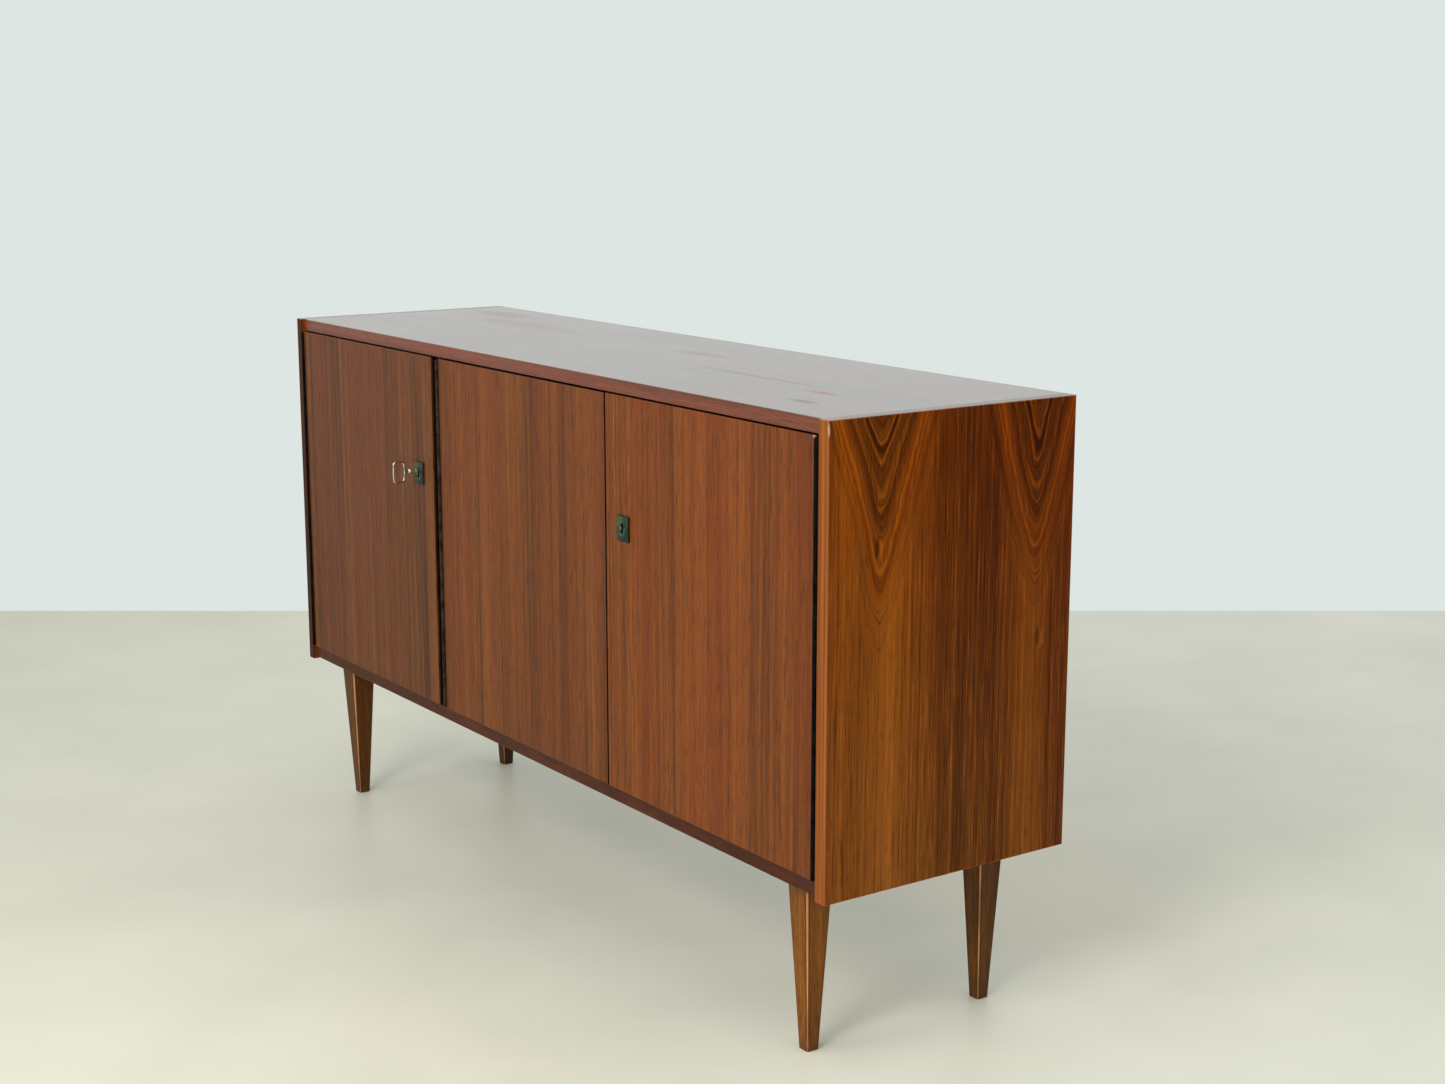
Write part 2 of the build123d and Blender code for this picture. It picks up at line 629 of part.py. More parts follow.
# ---- slide bolts behind the middle door ----
holder_screw = dict(length=holder_screw_len, head_r=holder_screw_head_r, shank_r=holder_screw_r)
for name, end_z, up in (("top", door_z1, 1), ("bottom", door_z0, -1)):
    base = sorted((end_z - up * holder_end, end_z - up * (holder_end + holder_len)))
    guides = [sorted((end_z - up * start, end_z - up * stop)) for start, stop in guides_at]
    with BuildPart() as holder:
        block(rod_x - holder_w / 2, rod_x + holder_w / 2, door_back, door_back + holder_t, *base)
        for guide in guides:
            across = (rod_x - guide_w / 2, rod_x + guide_w / 2)
            block(*across, door_back + holder_t, rod_y + guide_w / 2, *guide)
        rod(Plane.XY.offset(base[0]), rod_r + pin_play, holder_len, [(rod_x, rod_y)], mode=Mode.SUBTRACT)
        for x, z in holder_screws:
            if base[0] < z < base[1]:
                seat = Plane(origin=(x, door_back + holder_t, z), x_dir=(1, 0, 0), z_dir=(0, 1, 0))
                countersink(seat, **holder_screw)
    save(holder.part, f"slide_{name}_holder")
    with BuildPart() as slide:
        rod(Plane.XY.offset(end_z - up * rod_back), rod_r, -up * rod_len, [(rod_x, rod_y)])
        knob_z = end_z - up * knob_at
        rod(front_plane(rod_y), knob_neck_r, knob_len, [(-rod_x, knob_z)])
        with BuildSketch(front_plane(rod_y + knob_len)) as cap:
            with Locations((-rod_x, knob_z)):
                Circle(knob_r)
        extrude(cap.sketch, amount=knob_cap)
        chamfer(slide.faces().sort_by(Axis.Z)[-1 if up > 0 else 0].edges(), 0.8)
    save(slide.part, f"slide_{name}_rod")

with BuildPart() as slide_screws:
    for x, z in holder_screws:
        seat = Plane(origin=(x, door_back + holder_t, z), x_dir=(1, 0, 0), z_dir=(0, 1, 0))
        screw(seat, **holder_screw)
save(slide_screws.part, "slide_screws")
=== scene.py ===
import math
import bmesh
import bpy
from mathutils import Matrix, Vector


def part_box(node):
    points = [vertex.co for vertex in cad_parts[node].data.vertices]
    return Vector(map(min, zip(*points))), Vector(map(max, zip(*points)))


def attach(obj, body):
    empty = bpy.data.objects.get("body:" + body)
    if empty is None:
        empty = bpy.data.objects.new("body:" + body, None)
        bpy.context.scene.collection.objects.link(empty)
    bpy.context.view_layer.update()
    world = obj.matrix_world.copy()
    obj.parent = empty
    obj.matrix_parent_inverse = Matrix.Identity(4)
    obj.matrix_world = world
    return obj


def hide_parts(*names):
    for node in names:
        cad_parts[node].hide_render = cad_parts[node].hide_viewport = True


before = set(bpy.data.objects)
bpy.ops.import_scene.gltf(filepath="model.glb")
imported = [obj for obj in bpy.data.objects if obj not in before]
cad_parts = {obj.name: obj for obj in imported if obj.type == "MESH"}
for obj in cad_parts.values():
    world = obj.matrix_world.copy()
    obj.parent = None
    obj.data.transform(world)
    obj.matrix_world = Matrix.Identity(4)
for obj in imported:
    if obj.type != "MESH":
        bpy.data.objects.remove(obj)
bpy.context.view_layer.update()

print("frame loaded:", len(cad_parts), "nodes")


def tone(red, green, blue):
    # a screen colour as the linear values that shaders use
    colour = (red, green, blue)
    return tuple(((c / 255 + 0.055) / 1.055) ** 2.4 if c > 10 else c / 3294.6 for c in colour) + (1.0,)


def put(tree, kind, inputs=None, **settings):
    # a node with its sockets linked or set
    node = tree.nodes.new(kind)
    for key, value in settings.items():
        setattr(node, key, value)
    plug(tree, node, inputs or {})
    return node


def plug(tree, node, sockets):
    for key, value in sockets.items():
        if isinstance(value, bpy.types.NodeSocket):
            tree.links.new(value, node.inputs[key])
        else:
            node.inputs[key].default_value = value


def calc(tree, operation, *values):
    return put(tree, "ShaderNodeMath", dict(enumerate(values)), operation=operation).outputs[0]


def remap(tree, value, low, high, toLow=0.0, toHigh=1.0, kind="LINEAR"):
    sockets = {"Value": value, "From Min": low, "From Max": high, "To Min": toLow, "To Max": toHigh}
    return put(tree, "ShaderNodeMapRange", sockets, interpolation_type=kind).outputs["Result"]


def mixColour(tree, amount, first, second, mode="MIX"):
    sockets = {0: amount, 6: first, 7: second}
    return put(tree, "ShaderNodeMix", sockets, data_type="RGBA", blend_type=mode).outputs[2]


def colourRamp(tree, value, stops):
    node = put(tree, "ShaderNodeValToRGB", {"Fac": value})
    while len(node.color_ramp.elements) < len(stops):
        node.color_ramp.elements.new(0.5)
    for element, (place, colour) in zip(node.color_ramp.elements, stops):
        element.position = place
        element.color = colour
    return node.outputs["Color"]


def noise(tree, vector, stretch, detail=2.0, roughness=0.5):
    # noise with its own fineness along each axis
    fine = put(tree, "ShaderNodeVectorMath", {0: vector, 1: stretch}, operation="MULTIPLY").outputs[0]
    sockets = {"Vector": fine, "Scale": 1.0, "Detail": detail, "Roughness": roughness}
    return put(tree, "ShaderNodeTexNoise", sockets).outputs["Fac"]


def split(tree, vector):
    return put(tree, "ShaderNodeSeparateXYZ", {0: vector}).outputs


def join(tree, x, y, z):
    return put(tree, "ShaderNodeCombineXYZ", {0: x, 1: y, 2: z}).outputs[0]


def newLook(name):
    look = bpy.data.materials.new(name)
    look.use_nodes = True
    tree = look.node_tree
    return look, tree, tree.nodes["Principled BSDF"], put(tree, "ShaderNodeTexCoord").outputs["Object"]


def edgeCloseness(tree, position, box, reach):
    # 1 on the edges of a box and 0 from reach inwards, so that a face's middle stays clear
    above = put(tree, "ShaderNodeVectorMath", {0: position, 1: box[0]}, operation="SUBTRACT").outputs[0]
    below = put(tree, "ShaderNodeVectorMath", {0: box[1], 1: position}, operation="SUBTRACT").outputs[0]
    nearer = put(tree, "ShaderNodeVectorMath", {0: above, 1: below}, operation="MINIMUM").outputs[0]
    x, y, z = split(tree, nearer)
    larger = calc(tree, "MAXIMUM", x, y)
    middle = calc(tree, "MAXIMUM", calc(tree, "MINIMUM", x, y), calc(tree, "MINIMUM", larger, z))
    return remap(tree, middle, 0.0, reach, 1.0, 0.0, "SMOOTHSTEP")


def spot(tree, position, place, size, ragged=0.5):
    # a soft patch round a point, with a ragged rim
    offset = put(tree, "ShaderNodeVectorMath", {0: position, 1: place}, operation="SUBTRACT").outputs[0]
    scaled = put(tree, "ShaderNodeVectorMath", {0: offset, 1: size}, operation="DIVIDE").outputs[0]
    length = put(tree, "ShaderNodeVectorMath", {0: scaled}, operation="LENGTH").outputs["Value"]
    rim = noise(tree, scaled, (1.5, 1.5, 1.5), 3, 0.6)
    return remap(tree, calc(tree, "MULTIPLY_ADD", rim, ragged, length), 0.6, 1.25, 1.0, 0.0, "SMOOTHSTEP")


def boxOf(node):
    low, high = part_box(node)
    return tuple(low), tuple(high)


def changed(spec, **changes):
    return {**spec, **changes}


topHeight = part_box("top_panel")[1][2]

# grain runs along one axis; the finenesses are per metre across, through and along it
doorWood = {
    "along": 2, "across": 0, "shift": (0, 0, 0), "wander": 0.005, "wanderFineness": (3, 3, 1.0),
    "bands": (34, 4, 0.35), "stripes": (130, 10, 1.1), "fibre": (750, 60, 9), "flecks": (1100, 100, 38),
    "mix": (0.32, 0.34, 0.34), "toneRange": (0.4, 0.6),
    "stops": [
        (0.0, tone(88, 42, 15)), (0.35, tone(114, 56, 22)), (0.65, tone(131, 66, 27)), (1.0, tone(147, 80, 36)),
    ],
    "tint": tone(134, 58, 25), "tintFineness": (16, 3, 0.7), "tintAmount": 0.5,
    "fleckAt": 0.57, "fleckSoftness": 0.06, "fleckAmount": 0.6, "fleckColour": tone(57, 27, 13),
    "wearColour": tone(158, 95, 49), "wearAmount": 0.25, "wearReach": 0.0016,
    "wearRaggedness": (0.42, 0.58, 0.35, 1.0), "wearFineness": (70, 70, 70),
    "roughness": (0.42, 0.12), "smudgeFineness": (5, 5, 5), "fibreRoughness": 0.1, "specular": 0.15,
    "coat": 0.0, "coatRoughness": 0.3, "coatIor": 1.5, "coatEdge": (-0.0012, -0.0002),
    "bump": 0.3, "bumpDepth": 0.0004, "fibreHeight": 0.6, "fleckDepth": 0.6,
}
topWood = changed(
    doorWood, along=0, across=1, wander=0.008, wanderFineness=(1.0, 4, 4), bands=(34, 60, 0.35),
    stripes=(130, 200, 1.1), fibre=(750, 600, 9), flecks=(1100, 1100, 38),
    stops=[
        (0.0, tone(92, 50, 32)), (0.35, tone(122, 68, 44)), (0.65, tone(142, 82, 54)), (1.0, tone(158, 98, 66)),
    ],
    tint=tone(146, 72, 46), cast=(0.66, 0.42, 0.26, 1.0),
    roughness=(0.34, 0.16), specular=0.5, coat=1.0, coatRoughness=0.2, coatIor=2.75, coatAbove=topHeight,
)
insideWood = changed(
    topWood, cast=(1.0, 1.0, 1.0, 1.0), fleckAt=0.6, roughness=(0.45, 0.1), specular=0.35, coat=0.0,
)
legWood = changed(
    doorWood, wander=0.004, wanderFineness=(6, 6, 2), bands=(40, 40, 0.8), stripes=(170, 170, 2.5),
    fibre=(800, 800, 12), flecks=(1100, 1100, 45), toneRange=(0.36, 0.64),
    stops=[
        (0.0, tone(85, 49, 13)), (0.4, tone(113, 66, 19)), (0.7, tone(132, 81, 25)), (1.0, tone(151, 96, 34)),
    ],
    tint=tone(108, 58, 19), tintFineness=(16, 16, 1.5), tintAmount=0.4,
)
plyWood = changed(
    insideWood, tint=tone(176, 128, 84), wearColour=tone(206, 168, 120),
    stops=[
        (0.0, tone(140, 98, 60)), (0.4, tone(168, 124, 80)), (0.7, tone(186, 142, 96)), (1.0, tone(200, 160, 112)),
    ],
    fleckColour=tone(132, 92, 58), fleckAt=0.66, fleckAmount=0.3,
)
beechWood = changed(plyWood, stops=[
    (0.0, tone(176, 134, 92)), (0.4, tone(196, 154, 110)), (0.7, tone(208, 168, 124)), (1.0, tone(218, 182, 138)),
])


def grainOf(tree, position, spec):
    # the wood's tone from dark to light, its fibre and its open pores, all drawn out along the grain
    moved = put(tree, "ShaderNodeVectorMath", {0: position, 1: spec["shift"]}, operation="ADD").outputs[0]
    places = split(tree, moved)
    along, across = places[spec["along"]], places[spec["across"]]
    through = places[3 - spec["along"] - spec["across"]]
    wander = noise(tree, moved, spec["wanderFineness"])
    across = calc(tree, "ADD", across, calc(tree, "MULTIPLY_ADD", wander, spec["wander"], -spec["wander"] / 2))
    grain = join(tree, across, through, along)
    bands = noise(tree, grain, spec["bands"])
    stripes = noise(tree, grain, spec["stripes"], 3)
    fibre = noise(tree, grain, spec["fibre"], 3, 0.6)
    light = calc(tree, "MULTIPLY", bands, spec["mix"][0])
    light = calc(tree, "MULTIPLY_ADD", stripes, spec["mix"][1], light)
    light = calc(tree, "MULTIPLY_ADD", fibre, spec["mix"][2], light)
    fleckEnd = spec["fleckAt"] + spec["fleckSoftness"]
    flecks = remap(tree, noise(tree, grain, spec["flecks"], 1), spec["fleckAt"], fleckEnd)
    return grain, light, fibre, flecks


def finishWood(tree, shader, position, spec, colour, fibre, flecks, box, marks, dull=()):
    # pores, worn edges and marks over the wood's colour, then its gloss and its lacquer
    colour = mixColour(tree, calc(tree, "MULTIPLY", flecks, spec["fleckAmount"]), colour, spec["fleckColour"])
    if box:
        worn = edgeCloseness(tree, position, box, spec["wearReach"])
        ragged = remap(tree, noise(tree, position, spec["wearFineness"], 3), *spec["wearRaggedness"])
        worn = calc(tree, "MULTIPLY", calc(tree, "MULTIPLY", worn, ragged), spec["wearAmount"])
        colour = mixColour(tree, worn, colour, spec["wearColour"])
    for mark in marks:
        colour = mark(tree, position, colour)
    smudge = noise(tree, position, spec["smudgeFineness"], 4, 0.6)
    middle, swing = spec["roughness"]
    rough = calc(tree, "MULTIPLY_ADD", smudge, swing, middle - swing / 2)
    rough = calc(tree, "MULTIPLY_ADD", fibre, spec["fibreRoughness"], rough)
    raised = calc(tree, "MULTIPLY", fibre, spec["fibreHeight"])
    height = calc(tree, "SUBTRACT", raised, calc(tree, "MULTIPLY", flecks, spec["fleckDepth"]))
    relief = {"Height": height, "Strength": spec["bump"], "Distance": spec["bumpDepth"]}
    bump = put(tree, "ShaderNodeBump", relief).outputs[0]
    coat = spec["coat"]
    if "coatAbove" in spec:
        start, stop = (spec["coatAbove"] + edge for edge in spec["coatEdge"])
        coat = calc(tree, "MULTIPLY", remap(tree, split(tree, position)[2], start, stop), coat)
    for place, size, amount in dull:  # the lacquer is worn thin here
        thinner = calc(tree, "MULTIPLY", spot(tree, position, place, size), -amount)
        coat = calc(tree, "MULTIPLY", coat, calc(tree, "ADD", thinner, 1.0))
    plug(tree, shader, {
        "Base Color": colour, "Roughness": rough, "Normal": bump, "Specular IOR Level": spec["specular"],
        "Coat Weight": coat, "Coat Roughness": spec["coatRoughness"], "Coat IOR": spec["coatIor"],
    })


def straightWood(name, spec, box=None, marks=(), dull=()):
    look, tree, shader, position = newLook(name)
    grain, light, fibre, flecks = grainOf(tree, position, spec)
    colour = colourRamp(tree, remap(tree, light, *spec["toneRange"]), spec["stops"])
    patches = remap(tree, noise(tree, grain, spec["tintFineness"], 1), 0.4, 0.62, 0.0, spec["tintAmount"])
    colour = mixColour(tree, patches, colour, spec["tint"])
    if "cast" in spec:
        colour = mixColour(tree, 1.0, colour, spec["cast"], "MULTIPLY")
    finishWood(tree, shader, position, spec, colour, fibre, flecks, box, marks, dull)
    return look


# two leaves of walnut, each with nested pointed loops that close downwards; the rest is straight
walnut = changed(
    doorWood, across=1, wander=0.01, wanderFineness=(4, 7, 2), bands=(60, 4, 0.5), stripes=(220, 8, 1.4),
    fibre=(900, 60, 12), flecks=(1000, 100, 40), mix=(0.16, 0.34, 0.5),
    fleckAt=0.6, fleckAmount=0.4, fleckColour=tone(51, 23, 4),
    wearColour=tone(174, 93, 25), wearAmount=0.45, wearReach=0.0022, roughness=(0.42, 0.12), specular=0.03,
    coat=1.0, coatRoughness=0.24, coatIor=2.75, coatAbove=topHeight,
)
walnutFigure = {
    "leafCentres": (0.205, 0.84), "seam": 0.53, "squeeze": 1.25, "closing": 0.36, "deepest": 0.105,
    "point": 0.012, "bend": 0.03, "loopSize": 0.1, "loopFade": (0.84, 1.02),
    "wobble": 0.018, "wobbleFineness": (5, 11, 7), "drift": 0.1, "driftFineness": (3, 5, 1.6),
    "ringFineness": (230, 10, 5), "ringStretch": 0.4, "ringReach": 1.35, "ringShare": 0.6,
    "loops": [
        (0.0, tone(99, 49, 8)), (0.17, tone(90, 43, 6)), (0.22, tone(78, 35, 4)), (0.27, tone(103, 51, 8)),
        (0.48, tone(92, 46, 7)), (0.55, tone(76, 33, 4)), (0.6, tone(109, 53, 8)), (0.74, tone(135, 66, 10)),
        (0.84, tone(118, 55, 8)), (0.93, tone(157, 80, 14)), (1.0, tone(130, 63, 10)),
    ],
    "columns": [
        (0.0, tone(112, 54, 14)), (0.06, tone(142, 73, 16)), (0.13, tone(122, 62, 13)), (0.25, tone(147, 78, 18)),
        (0.34, tone(124, 63, 13)), (0.42, tone(114, 57, 12)), (0.52, tone(96, 47, 10)), (0.6, tone(103, 51, 11)),
        (0.69, tone(93, 44, 9)), (0.76, tone(116, 58, 12)), (0.84, tone(132, 68, 14)), (0.91, tone(112, 54, 11)),
        (1.0, tone(100, 45, 11)),
    ],
    "darkLine": tone(50, 22, 3), "darkRange": (0.49, 0.4, 0.0, 0.78),
    "lightLine": tone(186, 100, 26), "lightRange": (0.52, 0.61, 0.0, 0.55),
    "upperFront": (1.0, 0.9, 0.38, 1.0), "upperBack": (0.78, 0.58, 0.24, 1.0), "upperTurn": (0.26, 0.45),
    "lower": (0.98, 1.15, 2.1, 1.0), "castEnds": 0.05,
    "knots": [(0.19, 0.163, 1.0), (0.86, 0.31, 0.8)], "knotSize": (0.01, 0.0055, 0.017),
    "knotLight": tone(176, 96, 26), "haloAt": (0.006, -0.004), "haloAmount": 0.55, "knotAmount": 0.75,
}


def walnutSide(name, box, marks=()):
    look, tree, shader, position = newLook(name)
    figure = walnutFigure
    front, back, top = box[0][1], box[1][1], box[1][2]
    depth = back - front
    x, y, z = split(tree, position)
    share = remap(tree, y, front, back)
    secondLeaf = calc(tree, "GREATER_THAN", share, figure["seam"])
    centre = remap(tree, secondLeaf, 0.0, 1.0, *(front + c * depth for c in figure["leafCentres"]))
    offset = calc(tree, "MULTIPLY", calc(tree, "SUBTRACT", y, centre), figure["squeeze"])
    pointed = calc(tree, "SQRT", calc(tree, "MULTIPLY_ADD", offset, offset, figure["point"] ** 2))
    fall = calc(tree, "MULTIPLY", calc(tree, "SUBTRACT", top, z), figure["closing"])
    fall = calc(tree, "SMOOTH_MIN", fall, figure["deepest"], figure["bend"])
    wobble = calc(tree, "SUBTRACT", noise(tree, position, figure["wobbleFineness"], 4, 0.55), 0.5)
    ring = calc(tree, "MULTIPLY_ADD", wobble, figure["wobble"] * 2, calc(tree, "ADD", pointed, fall))
    loops = colourRamp(tree, remap(tree, ring, figure["point"], figure["loopSize"]), figure["loops"])
    drift = calc(tree, "SUBTRACT", noise(tree, position, figure["driftFineness"]), 0.5)
    columns = colourRamp(tree, calc(tree, "MULTIPLY_ADD", drift, figure["drift"], share), figure["columns"])
    size = figure["loopSize"]
    fadeStart, fadeStop = (size * part for part in figure["loopFade"])
    inFigure = remap(tree, ring, fadeStart, fadeStop, 1.0, 0.0, "SMOOTHSTEP")
    colour = mixColour(tree, inFigure, columns, loops)
    # fine lines follow the loops near the top and run straight below them
    ringPlace = join(tree, ring, x, calc(tree, "MULTIPLY", z, figure["ringStretch"]))
    ringLines = noise(tree, ringPlace, figure["ringFineness"], 4, 0.62)
    light, fibre, flecks = grainOf(tree, position, walnut)[1:]
    nearFigure = remap(tree, ring, size, size * figure["ringReach"], figure["ringShare"], 0.0, "SMOOTHSTEP")
    lines = calc(tree, "MULTIPLY_ADD", calc(tree, "SUBTRACT", ringLines, light), nearFigure, light)
    colour = mixColour(tree, remap(tree, lines, *figure["darkRange"]), colour, figure["darkLine"])
    colour = mixColour(tree, remap(tree, lines, *figure["lightRange"]), colour, figure["lightLine"])
    for knotShare, drop, amount in figure["knots"]:  # small eyes where the loops close
        place = (box[1][0] if name.endswith("Right") else box[0][0], front + knotShare * depth, top - drop)
        halo = (place[0], place[1] + figure["haloAt"][0], place[2] + figure["haloAt"][1])
        for at, strength, shade in (
            (halo, figure["haloAmount"], figure["knotLight"]),
            (place, figure["knotAmount"], figure["darkLine"]),
        ):
            eye = calc(tree, "MULTIPLY", spot(tree, position, at, figure["knotSize"]), strength * amount)
            colour = mixColour(tree, eye, colour, shade)
    height = remap(tree, z, box[0][2] + figure["castEnds"], top - figure["castEnds"])
    towardsBack = remap(tree, share, *figure["upperTurn"])
    upper = mixColour(tree, towardsBack, figure["upperFront"], figure["upperBack"])
    colour = mixColour(tree, 1.0, colour, mixColour(tree, height, figure["lower"], upper), "MULTIPLY")
    finishWood(tree, shader, position, walnut, colour, fibre, flecks, box, marks)
    return look


stripShape = {"start": 0.0008, "stop": 0.0022, "streakFineness": (300, 30, 2.0)}


def frontStrip(box, colour, streakColour, amount):
    # the streaked lipping on a panel's front edge
    def mark(tree, position, base):
        start, stop = (box[0][1] + stripShape[end] for end in ("start", "stop"))
        reach = remap(tree, split(tree, position)[1], start, stop, amount, 0.0)
        streaks = noise(tree, position, stripShape["streakFineness"], 3)
        shade = mixColour(tree, remap(tree, streaks, 0.35, 0.65), colour, streakColour)
        return mixColour(tree, reach, base, shade)
    return mark


def darkEdge(axis, start, stop, colour):
    # a colour that grows along an axis, from none at start to full at stop; on the divider it is painted shade
    def mark(tree, position, base):
        return mixColour(tree, remap(tree, split(tree, position)[axis], start, stop), base, colour)
    return mark


def patch(place, size, colour, amount):
    # one soft spot of a colour
    def mark(tree, position, base):
        share = calc(tree, "MULTIPLY", spot(tree, position, place, size), amount)
        return mixColour(tree, share, base, colour)
    return mark


# the legs' own taper and bevels, so that the marks follow them
legShape = {
    # painted light and shade for each leg, with some of its tone: the front right leg is lightened, the others
    # darkened, most of all the back left one in the shadow behind the carcass
    "casts": (
        (0.66, 0.68, 0.42, 1.0), (1.16, 1.09, 0.66, 1.0), (0.26, 0.27, 0.26, 1.0), (0.64, 0.62, 0.34, 1.0),
    ),
    "bevelTop": 0.0036, "bevelFoot": 0.0025, "widthTop": 0.044, "widthFoot": 0.0195, "top": 0.239,
    "dirtReach": (-0.0026, -0.0002), "dirtAmount": 0.6, "dirt": tone(70, 38, 18),
    "rubbedReach": (0.0005, 0.001), "rubbedFineness": (40, 40, 12), "rubbed": tone(204, 144, 84),
    "outerReach": (-0.002, -0.0005), "outerAmount": 0.16, "outer": tone(60, 28, 10),
    "scuffTop": 0.06, "scuffAmount": 0.55, "scuffFineness": (60, 60, 25), "scuff": tone(74, 44, 28),
    "chipAt": (0.008, -0.008, 0.012), "chipSize": (0.003, 0.003, 0.011), "chip": tone(172, 92, 56),
}


def legLook(name, box, number):
    # the bevelled corners are rubbed light between two dark lines, the face towards +x gets painted shade, and the
    # feet are scuffed
    low, high = box
    middle = ((low[0] + high[0]) / 2, (low[1] + high[1]) / 2)

    def rubbedCorners(tree, position, base):
        x, y, z = split(tree, position)
        up = remap(tree, z, 0.0, legShape["top"])
        halfWidth = remap(tree, up, 0.0, 1.0, legShape["widthFoot"] / 2, legShape["widthTop"] / 2)
        bevel = remap(tree, up, 0.0, 1.0, legShape["bevelFoot"], legShape["bevelTop"])
        fromX = calc(tree, "ABSOLUTE", calc(tree, "SUBTRACT", x, middle[0]))
        fromY = calc(tree, "ABSOLUTE", calc(tree, "SUBTRACT", y, middle[1]))
        flat = calc(tree, "SUBTRACT", halfWidth, bevel)
        inside = calc(tree, "SUBTRACT", calc(tree, "MINIMUM", fromX, fromY), flat)
        dirt = remap(tree, inside, *legShape["dirtReach"])
        base = mixColour(tree, calc(tree, "MULTIPLY", dirt, legShape["dirtAmount"]), base, legShape["dirt"])
        rubbed = remap(tree, inside, *legShape["rubbedReach"])
        uneven = remap(tree, noise(tree, position, legShape["rubbedFineness"], 3), 0.35, 0.6, 0.55, 1.0)
        base = mixColour(tree, calc(tree, "MULTIPLY", rubbed, uneven), base, legShape["rubbed"])
        # painted shade on the face towards +x
        outer = calc(tree, "SUBTRACT", calc(tree, "SUBTRACT", x, middle[0]), halfWidth)
        outer = remap(tree, outer, *legShape["outerReach"], 0.0, legShape["outerAmount"])
        base = mixColour(tree, outer, base, legShape["outer"])
        foot = remap(tree, z, legShape["scuffTop"], 0.0, 0.0, legShape["scuffAmount"])
        scuffs = remap(tree, noise(tree, position, legShape["scuffFineness"], 4), 0.3, 0.6)
        return mixColour(tree, calc(tree, "MULTIPLY", foot, scuffs), base, legShape["scuff"])

    spec = changed(legWood, shift=(0.37 * number, 0.2, 0.3 * number), cast=legShape["casts"][number])
    marks = [rubbedCorners]
    if number == 1:  # the front right leg has a chipped foot
        right, back, up = legShape["chipAt"]
        chipPlace = (middle[0] + right, middle[1] + back, up)
        marks.append(patch(chipPlace, legShape["chipSize"], legShape["chip"], 0.8))
    return straightWood(name, spec, None, marks)


grime = {"fineness": (900, 900, 900), "range": (0.4, 0.75), "amount": 0.4, "colour": tone(14, 12, 10)}


def metalLook(name, base, stainAndShade, roughness, stainFineness=60, stainRange=(0.42, 0.62), bump=0.15, metallic=1.0):
    look, tree, shader, position = newLook(name)
    cloud = noise(tree, position, (stainFineness,) * 3, 5, 0.6)
    grit = noise(tree, position, grime["fineness"], 3, 0.6)
    colour = mixColour(tree, remap(tree, cloud, *stainRange), base, stainAndShade)
    colour = mixColour(tree, remap(tree, grit, *grime["range"], 0.0, grime["amount"]), colour, grime["colour"])
    rough = calc(tree, "MULTIPLY_ADD", cloud, roughness[1], roughness[0])
    bumped = put(tree, "ShaderNodeBump", {"Height": grit, "Strength": bump, "Distance": 0.0002}).outputs[0]
    plug(tree, shader, {"Base Color": colour, "Metallic": metallic, "Roughness": rough, "Normal": bumped})
    return look


plateShape = {
    "teal": tone(9, 40, 37), "bronze": tone(72, 80, 42), "bronzeLean": 0.3, "bronzeRange": (0.4, 0.66),
    "pale": tone(164, 176, 148), "paleRise": 0.017, "paleSize": (0.0065, 0.02, 0.0115),
    "dark": tone(10, 12, 16), "shadeRight": (0.84, 0.98), "shadeTop": (0.93, 1.0), "shadeFoot": (0.05, 0.0),
    "hole": tone(3, 4, 5), "holeHalfWidth": (0.0042, 0.0037), "holeDepth": (0.0001, 0.0003),
    "cloudFineness": (150, 150, 150), "gritFineness": (800, 800, 800), "bump": 0.5, "bumpDepth": 0.0003,
}


